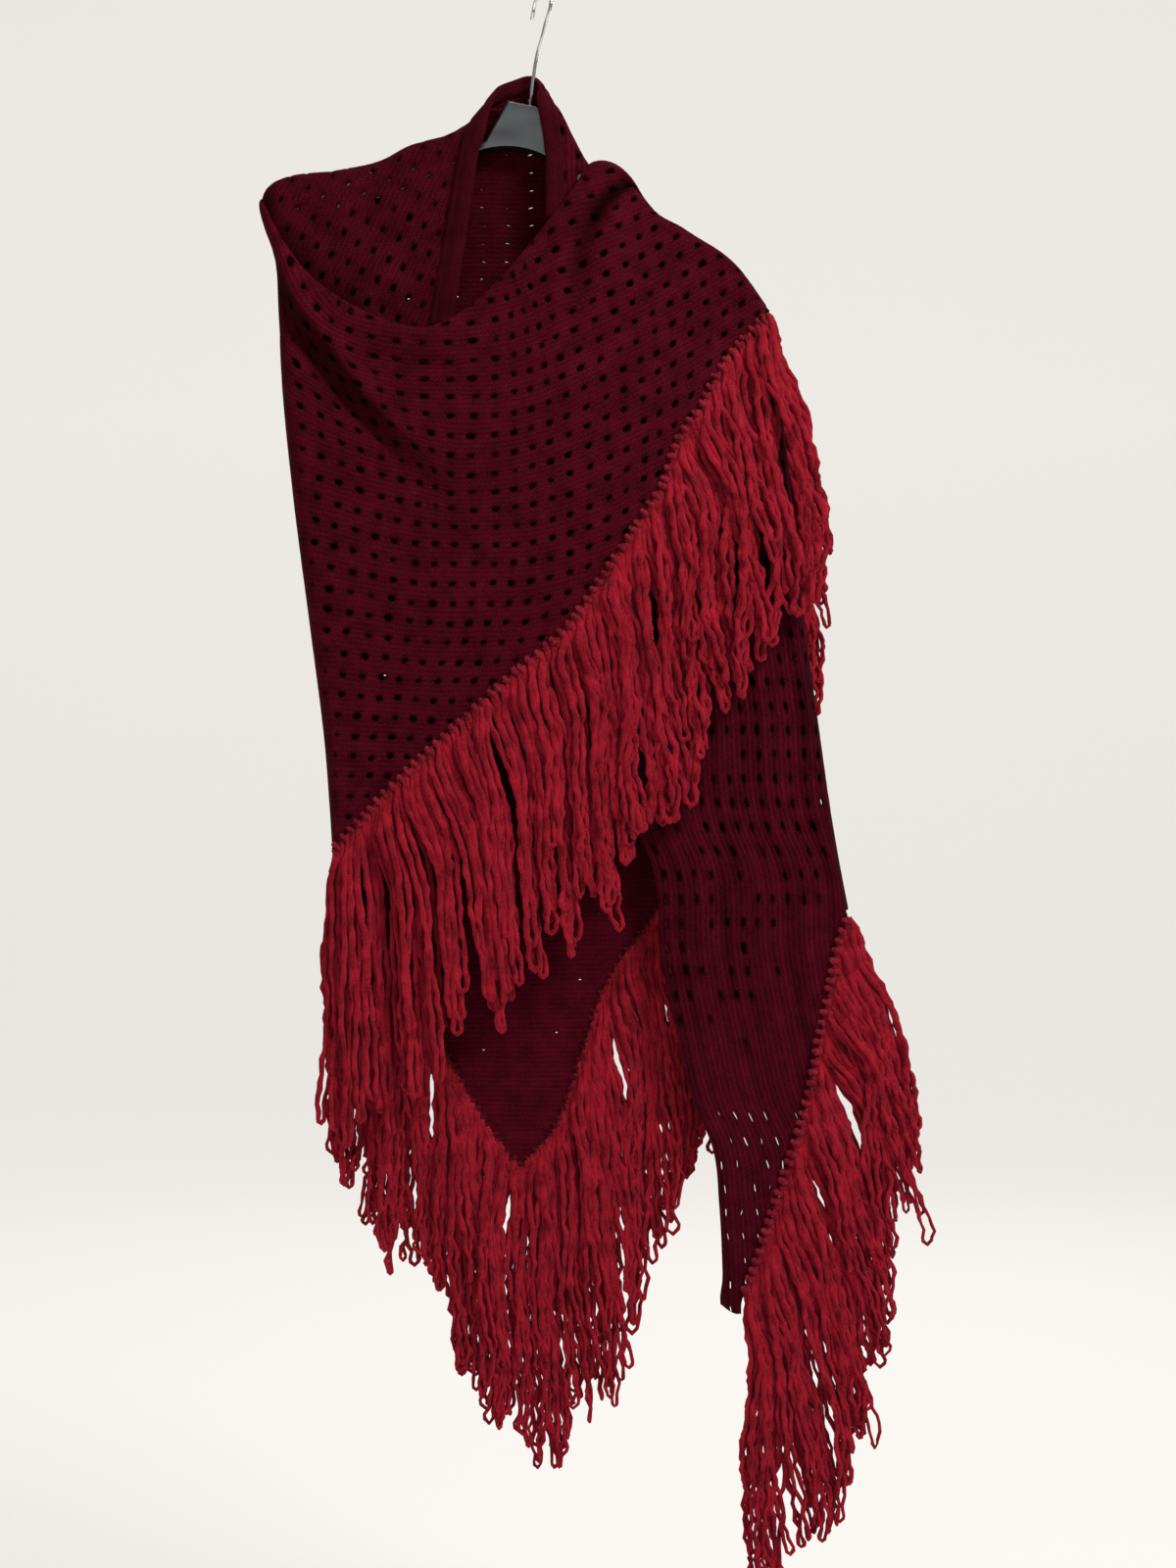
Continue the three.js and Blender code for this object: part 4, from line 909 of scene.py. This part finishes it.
def tail_stretch():
    P, F = cells(3, 41, -2, 11, lambda i, j: 0.85, 3, 15)
    def place(P):
        z = -P[:, 0] * 21.0
        return tail_in(z) + 16.5 * (P[:, 1] + 0.5), z
    x, z = place(P)
    P, F = clip(P, F, np.minimum(x - tail_in(z), tail_out(np.minimum(z, -230.6)) - x))
    x, z = place(P)
    def top_distance(x, z):
        xt = np.clip(x, 30.4, 201.1)
        s = slope(front_top, xt)
        root = np.sqrt(1 + s * s)
        return (front_top(xt) - z) / root, root, xt
    d, root, xt = top_distance(x, z)
    ytop = front_depth(xt, front_top(xt) - TURN)
    rd = (tail_depth(front_top(xt)) - ytop) / 2
    arc = np.pi * np.sqrt((TURN ** 2 + rd ** 2) / 2)
    P, F = clip(P, F, np.minimum(d - (TURN - arc * 0.5), z - -844.8))
    x, z = place(P)
    d, root, xt = top_distance(x, z)
    ytop = front_depth(xt, front_top(xt) - TURN)
    yb = tail_depth(np.minimum(z, front_top(xt))) + 2.2 * np.sin(x / 13 + 0.3 * np.sin(z / 70)) * smooth(10, 90, d)
    ins, y, share = turn(d, TURN, yb, ytop)
    Z = np.where(d < TURN, front_top(xt) - ins * root, z)
    Y = y + ripple(x, Z, 1.3, 0.5, 14.9) * smooth(0, 8, d)
    return make("shawl_tail", np.stack([x, Y, Z], 1), F, KNIT, np.stack([P[:, 0] * 21.0, P[:, 1] * 16.5], 1), 1.7)


# ------------------------------------------------------------------ moulded hanger
def hanger():
    def bend(a, c, b, n=6):
        return [((1 - t) ** 2 * a[0] + 2 * t * (1 - t) * c[0] + t * t * b[0], (1 - t) ** 2 * a[1] + 2 * t * (1 - t) * c[1] + t * t * b[1])
                for t in np.arange(1, n + 1) / n]
    arm, low = [(33.5, -42), (110, -83), (178, -114)], [(187, -143), (105, -105), (56, -68), (40, -54)]
    right = [(19.8, -3.0)] + arm + bend(arm[2], (201, -123), (203, -138)) + bend((203, -138), (201, -148), low[0]) + low[1:]
    line = right + bend((40, -54), (0, -32), (-40, -54), 12)[:-1] + [(-x, z) for x, z in right[::-1]]
    q = math.radians(10.5)
    n = len(line)
    pts = []
    for y in (-6.5, 9.0):
        pts += [(x * math.cos(q) + z * math.sin(q) - 12.4, y, -x * math.sin(q) + z * math.cos(q) - 103) for x, z in line]
    F = [tuple(range(n))[::-1], tuple(range(n, 2 * n))] + [(k, (k + 1) % n, n + (k + 1) % n, n + k) for k in range(n)]
    ob = make("hanger_plate", pts, F, PLASTIC)
    bm = bmesh.new()
    bm.from_mesh(ob.data)
    bmesh.ops.recalc_face_normals(bm, faces=bm.faces)
    bm.to_mesh(ob.data)
    bm.free()
    mod = ob.modifiers.new("edge", "BEVEL")
    mod.width = 2.0 * MM
    mod.segments = 4
    mod.limit_method = "ANGLE"
    mod.angle_limit = math.radians(45)
    mod.harden_normals = True
    done = bpy.data.meshes.new_from_object(ob.evaluated_get(bpy.context.evaluated_depsgraph_get()))
    ob.modifiers.clear()
    ob.data = done
    done.name = "hanger_plate"
    done.materials.append(SHADE)
    # faces that look down get the darker matte material: painted shade on the underside
    for p in done.polygons:
        if p.normal.z < -0.45:
            p.material_index = 1
    return ob


# ------------------------------------------------------------------ swept round forms
def frames(mid, face=None):
    """tangent, normal and side along paths; mid is (..., m, 3)"""
    t = np.gradient(mid, axis=-2)
    t /= np.linalg.norm(t, axis=-1, keepdims=True) + 1e-9
    ref = np.zeros_like(mid)
    ref[..., 1] = 1.0
    if face is not None:
        ref = face
    side = np.cross(t, ref)
    side /= np.linalg.norm(side, axis=-1, keepdims=True) + 1e-9
    up = np.cross(side, t)
    return t, side, up


def tubes(mid, radius, sides, flat=1.0, spin=None, caps=True):
    """one closed tube for each path. mid: (n, m, 3), radius: (n, m). Returns points and faces."""
    n, m, _ = mid.shape
    t, side, up = frames(mid)
    a = np.arange(sides) / sides * 2 * np.pi
    A = a[None, None, :] + (0 if spin is None else spin[..., None])
    ring = (mid[:, :, None, :] + radius[..., None, None] * (np.cos(A)[..., None] * side[:, :, None, :]
            + flat * np.sin(A)[..., None] * up[:, :, None, :]))
    P = ring.reshape(-1, 3)
    k = np.arange(sides)
    kn = (k + 1) % sides
    one = []
    for r in range(m - 1):
        for a_, b_ in zip(k, kn):
            one.append((r * sides + a_, (r + 1) * sides + a_, (r + 1) * sides + b_, r * sides + b_))
    F = []
    for q in range(n):
        o = q * m * sides
        F += [tuple(o + v for v in f) for f in one]
        if caps:
            F.append(tuple(o + v for v in k))
            F.append(tuple(o + (m - 1) * sides + v for v in k[::-1]))
    return P, F


def roll():
    rows = [
        [-92.4, -308, -21.6, -0.5, -1, 0], [-87.1, -274.6, -20.1, -0.5, -1, 0], [-81.8, -241.1, -18.6, -0.5, -1, 0], [-76.6, -208.6, -17.4, -0.5, -1, 0],
        [-71.3, -177.8, -16.6, -0.5, -1, 0], [-66.9, -149.6, -16.1, -0.5, -1, 0], [-59.4, -126.7, -15.5, -0.2, -1, 0.2], [-53.2, -110, -8, -0.7, -0.6, 0.6],
        [-47.5, -99.4, 3, -0.7, 0.2, 0.7], [-39.2, -92, 11, -0.3, 0.9, 0.5], [-26.8, -86.7, 13, 0, 1, 0.2], [-15.4, -83.6, 13.6, 0, 1, 0.2],
        [-6.2, -84.5, 10.5, 0.5, 0.6, 0.6], [-1.3, -91.5, 1.0, 0.7, -0.4, 0.6], [0.4, -101.2, -9.5, 0.4, -1, 0.4], [3.5, -115.3, -15.2, 0, -1, 0],
        [7, -136.4, -16.5, 0, -1, 0], [9.2, -161.9, -16.6, 0, -1, 0], [10.1, -186.6, -16.8, 0, -1, 0], [10.1, -209.4, -17, 0, -1, 0],
    ]
    R = np.array(rows, float)
    q = np.linspace(0, len(R) - 1, 190)
    W = weights(np.arange(len(R)), q)
    p = W @ R[:, :3]
    mid = np.stack([p[:, 0], p[:, 2], p[:, 1]], 1)
    face = W @ R[:, 3:]
    face /= np.linalg.norm(face, axis=1, keepdims=True)
    t = np.gradient(mid, axis=0)
    t /= np.linalg.norm(t, axis=1, keepdims=True)
    wide = np.cross(t, face)
    wide /= np.linalg.norm(wide, axis=1, keepdims=True)
    up = np.cross(wide, t)
    sides = 26
    a = np.arange(sides) / sides * 2 * np.pi
    length = np.concatenate([[0], np.cumsum(np.linalg.norm(np.diff(mid, axis=0), axis=1))])
    W_, T_ = (8.6 + 2.6 * smooth(7, 4.5, q) + 0.7 * np.sin(length / 31)) * (1 - 0.2 * np.exp(-((q - 9) / 3.0) ** 2) - 0.3 * np.exp(-((q - 12.8) / 1.2) ** 2)), 3.4 + 0.4 * np.sin(length / 19 + 1)
    c, s = np.cos(a), np.sin(a)
    groove = 1 - 0.34 * np.exp(-((np.abs(a - 1.9)) / 0.22) ** 2) - 0.26 * np.exp(-((np.abs(a - 4.9)) / 0.2) ** 2)
    P = (mid[:, None, :] + (W_[:, None] * c * groove)[..., None] * wide[:, None, :]
         + (T_[:, None] * s * groove)[..., None] * up[:, None, :])
    pts = P.reshape(-1, 3)
    for k in range(len(pts)):
        pts[k] += 0.9 * np.array(noise.noise_vector(Vector(pts[k] / 17)))
    F = []
    m = len(mid)
    for r in range(m - 1):
        for k in range(sides):
            F.append((r * sides + k, r * sides + (k + 1) % sides, (r + 1) * sides + (k + 1) % sides, (r + 1) * sides + k))
    F.append(tuple(range(sides))[::-1])
    F.append(tuple((m - 1) * sides + k for k in range(sides)))
    uv = np.stack([np.repeat(length, sides), np.tile(a * 6.0, m)], 1)
    return make("shawl_roll", pts, F, KNIT_PLAIN, uv)


# ------------------------------------------------------------------ knots along the hems
KNOT_STEP = 9.2


def hem_path(hem, y):
    """x, y, z along a hem, by share of its length"""
    f = along([[p[0], p[1]] for p in hem])
    def g(q):
        p = f(q)
        return np.stack([p[:, 0], y(p[:, 0], p[:, 1], np.zeros(len(p)), q), p[:, 1]], 1)
    g.size = f.size
    return g


def knots(name, path, flip, big, material):
    """pairs of small beads of yarn over the hem"""
    n = int(round(path.size / KNOT_STEP))
    q = (np.arange(n) + 0.5) / n
    q = np.clip(q + rng.normal(0, 0.09, n) / n, 0.001, 0.999)
    c, e = path(q), path(np.clip(q + 1e-3, 0, 1)) - path(np.clip(q - 1e-3, 0, 1))
    t = e / np.linalg.norm(e, axis=1, keepdims=True)
    out = np.stack([-t[:, 2], np.zeros(n), t[:, 0]], 1) * flip     # away from the cloth
    front_ = np.array([0.0, -1.0, 0.0])
    mids, rad = [], []
    for where, size, along_, rise, m in ((-1.7, 2.55, 0.5, 1.9, 7), (2.9, 3.0, -0.4, 2.3, 7), (0.6, 2.1, 0.9, 3.0, 7)):
        where, size, rise = where * big, size * big, rise * big
        u = np.linspace(-1, 1, m)
        c_ = c + out * where + rng.normal(0, 0.3, (n, 3)) + front_ * rise
        direction = out * 0.8 + t * (along_ + rng.normal(0, 0.2, (n, 1)))
        mid = c_[:, None, :] + direction[:, None, :] * (u * size * 0.95)[None, :, None]
        mid = mid + front_[None, None, :] * ((1 - u * u) * 0.5)[None, :, None]
        mids.append(mid)
        rad.append(size * (1 + rng.normal(0, 0.1, n))[:, None] * np.sqrt(np.maximum(1 - (u * 0.97) ** 2, 0.04))[None, :])
    # the yarn that runs along the hem behind the beads, and one turn over the edge between each pair
    u = np.linspace(-1, 1, 7)
    mid = c[:, None, :] + t[:, None, :] * (u * 4.2)[None, :, None] + out[:, None, :] * (0.6 + 0.5 * np.cos(u * 3))[None, :, None]
    mid = mid + front_[None, None, :] * 0.2 + rng.normal(0, 0.15, (n, 7, 3))
    mids.append(mid)
    rad.append(np.repeat(np.full((n, 1), 1.7 * big), 7, 1) * (1 - 0.2 * np.abs(u))[None, :])
    P, F = tubes(np.concatenate(mids), np.concatenate(rad), 7)
    return make(name, P, F, material)


# ------------------------------------------------------------------ looped fringe
def fringe(name, path, low, y, step, flip, bundle=(20, 40), seed=0, curl=(1.0, 1.0), loose=0.0, thick=2.7, taper=0.16, ragged=1.0, wild=(0.2, 0.2), lean=((0, 0), (1, 0)), pulls=(0.22, 0.5), crinkle_=0.1, crowd=0.0):
    """loops of yarn. path: along the hem, low: (x, z) rows of where they end, y: depth from place and share down"""
    r = np.random.default_rng(seed)
    L = along([[p[0], p[1]] for p in low])
    n = int(path.size / step)
    q = (np.arange(n) + 0.5) / n
    q = np.clip(q + r.normal(0, 0.30, n) / n, 0.0, 1.0)
    if crowd:
        q = np.clip(q - crowd * np.sin(2 * np.pi * q) / (2 * np.pi), 0, 1)
    top = path(q)
    e = path(np.clip(q + 1e-3, 0, 1)) - path(np.clip(q - 1e-3, 0, 1))
    t = e / np.linalg.norm(e, axis=1, keepdims=True)
    top = top + np.stack([-t[:, 2], np.zeros(n), t[:, 0]], 1) * (flip * 1.0)
    # bundles: the loops of a bundle hang close together, with gaps between bundles
    edges = [0.0]
    while edges[-1] < 1:
        edges.append(edges[-1] + r.uniform(*bundle) / path.size)
    edges = np.array(edges)
    which = np.searchsorted(edges, q, side="right") - 1
    centre = (edges[which] + edges[which + 1]) / 2
    ct = path(np.clip(centre, 0, 1))
    pull = r.uniform(*pulls, len(edges))[which] * smooth(0.02, 0.2, q)
    shift = r.normal(0, 0.0045, len(edges))[which]
    lean_ = np.interp(q, [a[0] for a in lean], [a[1] for a in lean])
    end = L(np.clip(q + lean_ + (centre - q) * 0.25 + shift + r.normal(0, 0.003, n), -0.01, 1.01))[:, :2]
    stray = (r.random(n) < 0.10) * np.clip(r.normal(0, 9.0, n), -13, 13)
    reach = 1 + ragged * (r.uniform(-0.085, 0.035, len(edges))[which] + r.normal(0, 0.026, n)
                          - 0.2 * r.random(n) * (r.random(n) < 0.22) + 0.05 * (r.random(n) < 0.05))
    level = r.uniform(-1, 1, len(edges))[which]
    m = POINTS
    u = np.linspace(0, 1, m)
    layer = r.integers(-1, 2, n) + r.normal(0, 0.12, n)
    sway = r.normal(0, 1.0, n)
    outward = np.stack([-t[:, 2], t[:, 0]], 1) * flip
    tangle = wild[0] + (wild[1] - wild[0]) * smooth(0.3, 0.9, q)
    long_ = r.uniform(0, 2 * np.pi, len(edges))[which] * 0.6 + r.normal(0, 0.5, n)
    lfreq = r.uniform(0.7, 1.4, n)
    wave = r.uniform(0, 2 * np.pi, (n, 8))
    curls = (curl[0] + (curl[1] - curl[0]) * smooth(0.25, 0.6, q))[:, None]
    freq = r.uniform(0.8, 1.25, (n, 8))
    gap0 = r.uniform(3.2, 6.2, n)
    def leg(sign, v):
        """v from 0 at the hem to 1 at the turn"""
        s = v[None, :] * reach[:, None]
        p = 0.55 * s + 0.45 * smooth(0, 0.38, s)
        x = top[:, 0, None] + (end[:, 0] - top[:, 0])[:, None] * p
        z = top[:, 2, None] + (end[:, 1] - top[:, 2])[:, None] * s
        puff = np.exp(-((s - 0.045) / 0.04) ** 2) * 3.4
        x = x + outward[:, 0, None] * puff
        x = x + tangle[:, None] * 7.5 * smooth(0.03, 0.25, s) * np.sin(s * 5.2 * lfreq[:, None] + long_[:, None])
        x = x + ((ct[:, 0] - top[:, 0]) * pull)[:, None] * smooth(0, 0.22, s) * (1 - 0.55 * s)
        length = np.hypot(end[:, 0] - top[:, 0], end[:, 1] - top[:, 2])[:, None] * s
        fade = smooth(0.0, 0.10, s)
        amp = curls * fade * (0.7 + 0.5 * s)
        o = 0 if sign < 0 else 4
        w = lambda k, p: np.sin(length / p * freq[:, (o + k) % 8, None] + wave[:, (o + k) % 8, None])
        x = x + amp * (1.2 * w(0, 15) + 0.72 * w(1, 5.2) + 0.6 * w(2, 2.6)) + stray[:, None] * smooth(0.15, 0.6, s)
        x = x + sway[:, None] * (2.0 + loose) * s * s + sign * gap0[:, None] * 0.5 * fade
        x = x + sign * 1.2 * np.sin(length / 30 * freq[:, 2, None] + wave[:, 2, None]) * fade
        d = y(x, z, s, q[:, None] + 0 * s)
        d = d + amp * (1.1 * w(3, 13) + 0.8 * w(2, 4.1)) + (layer * 4.9 + level * 2.0 + sign * 1.2)[:, None] * smooth(0.0, 0.12, s) - 2.2 * np.exp(-((s - 0.05) / 0.05) ** 2) - (np.abs(stray) > 0)[:, None] * 4.0 * smooth(0.1, 0.3, s)
        d = np.maximum(d, -56.5)
        z = z + amp * 0.5 * w(3, 5.2)
        return np.stack([x, d, z], -1)
    a = leg(-1, u)
    b_ = leg(1, u)
    # the turn at the bottom: a few points round a small arc
    ea, eb = a[:, -1], b_[:, -1]
    mid_ = (ea + eb) / 2
    w = (eb - ea) / 2
    rad = np.maximum(np.linalg.norm(w, axis=1), 2.2)
    w = w / (np.linalg.norm(w, axis=1, keepdims=True) + 1e-9)
    ang = np.array([0.85, 0.5, 0.15]) * np.pi
    arc = (mid_[:, None, :] + (w[:, None, :] * np.cos(ang)[None, :, None]) * rad[:, None, None]
           + np.array([0, 0, -1.0])[None, None, :] * (np.sin(ang)[None, :, None] * rad[:, None, None] * 1.4))
    line = np.concatenate([a, arc, b_[:, ::-1]], 1)
    M = line.shape[1]
    U = np.concatenate([u, [1.02] * 3, u[::-1]])
    base = thick * (1 + r.normal(0, 0.08, (n, 1)))
    crinkle = 1 + 0.10 * np.sin(np.arange(M)[None, :] * 1.9 + wave[:, 0, None] * 3) + r.normal(0, crinkle_, (n, M))
    radius = base * crinkle * (1.0 - taper * smooth(0.25, 1.0, U))[None, :] * (0.8 + 0.2 * smooth(0.0, 0.08, U))[None, :]
    P, F = tubes(line, radius, 5, 0.92)
    return make(name, P, F, YARN)


POINTS = 37
# ------------------------------------------------------------------ backdrop
def backdrop():
    rows = [(-6.0, -1.62), (3.6, -1.62)]
    for k in range(1, 13):
        a = math.pi / 2 * k / 12
        rows.append((3.6 + 2.0 * math.sin(a), -1.62 + 2.0 * (1 - math.cos(a))))
    rows.append((5.6, 7.0))
    v = [(x, y, z) for y, z in rows for x in (-9.0, 9.0)]
    f = [(2 * k, 2 * k + 1, 2 * k + 3, 2 * k + 2) for k in range(len(rows) - 1)]
    me = bpy.data.meshes.new("backdrop")
    me.from_pydata(v, [], f)
    me.materials.append(WALL)
    me.polygons.foreach_set("use_smooth", [True] * len(me.polygons))
    ob = bpy.data.objects.new("backdrop", me)
    scene.collection.objects.link(ob)


backdrop()
KNIT_RIB = knit_material("knit_rib", (0.026, 0.0009, 0.0036), (0.118, 0.0042, 0.0150), 4.6, 3.4, 2.0)
front, back, shoulder = front_stretch(), back_stretch(), shoulder_stretch()
drop, tail, neck = drop_stretch(), tail_stretch(), roll()
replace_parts(front, "cloth_front", "cloth_cowl")
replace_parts(back, "cloth_back")
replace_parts(shoulder, "cloth_shoulder")
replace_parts(drop, "cloth_drop")
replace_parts(tail, "cloth_tail")
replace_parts(neck, "neck_roll")
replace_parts(hanger(), "hanger_body")


def y_front(x, z, s, q):
    f = front_depth_0(np.clip(x, -260, 215.2), np.maximum(z, -626.6))
    cap = mix(-19.0, -31.0, smooth(0, 0.8, q))
    return np.where(s <= 0, np.minimum(-16.0, f), np.minimum(cap, mix(f, np.minimum(f, -30.0), np.clip(s, 0, 1))))


y_back = lambda x, z, s, q: back_depth(x, z)
y_drop = lambda x, z, s, q: np.full(np.shape(x), -18.0)
y_tail = lambda x, z, s, q: tail_depth(np.maximum(z, -855.4))
TRIMS = {
    "front": (HEM_FRONT, [[-198.4, -1013.8], [-167.6, -1013.8], [-110.4, -965.4], [-48.8, -912.6], [4, -855.4], [49.7, -807], [92, -767.4], [131.6, -714.6],
                          [166.8, -657.4], [202, -600.2], [246, -538.6]], y_front, -1, 4.3),
    "back_left": (HEM_BACK_LEFT[:-1] + [[-18.4, -1062]], [[-195.8, -1035.8], [-147.4, -1101.8], [-101.6, -1163.4], [-62, -1242.6], [-31.2, -1304.2], [-18, -1314.7]],
                  y_back, -1, 3.4),
    "back_right": ([[-24.6, -1061.1]] + HEM_BACK_RIGHT[1:], [[-15.4, -1316.5], [0.4, -1307.7], [30.4, -1277.8], [58.5, -1233.8], [87.6, -1163.4], [118.4, -1079.8], [158, -996.2], [197.6, -974.2],
                                    [228.4, -987.4], [255.6, -1022.6]], y_back, -1, 3.4),
    "drop": (HEM_DROP, [[327.8, -1022.6], [321.6, -1075.4], [315.5, -1128.2], [303.2, -1185.4], [290.8, -1247], [278.5, -1297.1], [264.4, -1348.2], [229.2, -1393.9],
                        [185.2, -1409.8]], y_drop, 1, 3.0),
    "tail": (HEM_TAIL, [[248.6, -507.8], [245.1, -582.6], [231, -679.4], [218.7, -802.6], [195.8, -934.6], [151.8, -1035.8]], y_tail, 1, 4.8),
}
fringes, edgings = {}, {}
for k, (tag, (hem, low, y, flip, step)) in enumerate(TRIMS.items()):
    p = hem_path(hem, y)
    # the back hems' knots take the darker copy of the knot yarn: painted shade
    edgings[tag] = knots("knots_" + tag, p, flip, {"drop": 1.02, "front": 0.94, "tail": 0.94}.get(tag, 0.66), KNOT if tag[:4] != "back" else KNOT_SHADED)
    if tag == "front":
        look = dict(thick=3.05, taper=0.16, ragged=1.6, curl=(0.9, 1.6), wild=(0.15, 1.25), pulls=(0.06, 0.32), bundle=(18, 42),
                    lean=((0, 0.0), (0.03, 0.012), (0.13, 0.075), (0.3, 0.05), (0.45, 0.028), (0.7, 0.0), (1, 0.0)), crowd=-0.12)
    else:
        look = dict(thick=2.95, taper=0.36, ragged=1.5, curl=(1.4, 1.4), wild=(1.0, 1.0) if tag == "drop" else (0.7, 0.7), bundle=(20, 50), pulls=(0.0, 0.26),
                    crowd=0.26 if tag == "drop" else 0.0)
    fringes[tag] = fringe("yarn_" + tag, p, low, y, step, flip, seed=40 + k, **look)
    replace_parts(edgings[tag], "edging_" + tag)
    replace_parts(fringes[tag], "fringe_" + tag)

def cut(piece, held, on, tags=()):
    w, l, a = FLAT[piece.name]
    round(w, 3)


cut(back, "hung", ["hanger_body"], ("back_left", "back_right"))
cut(shoulder, "draped", ["hanger_body"])
cut(front, "draped", [shoulder, drop], ("front",))
cut(drop, "draped", ["hanger_body"], ("drop",))
cut(tail, "draped", [drop], ("tail",))

LEFT_OVER = {"hanger_hook": STEEL}
for name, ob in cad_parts.items():
    if name in LEFT_OVER:
        ob.data.materials.clear()
        ob.data.materials.append(LEFT_OVER[name])
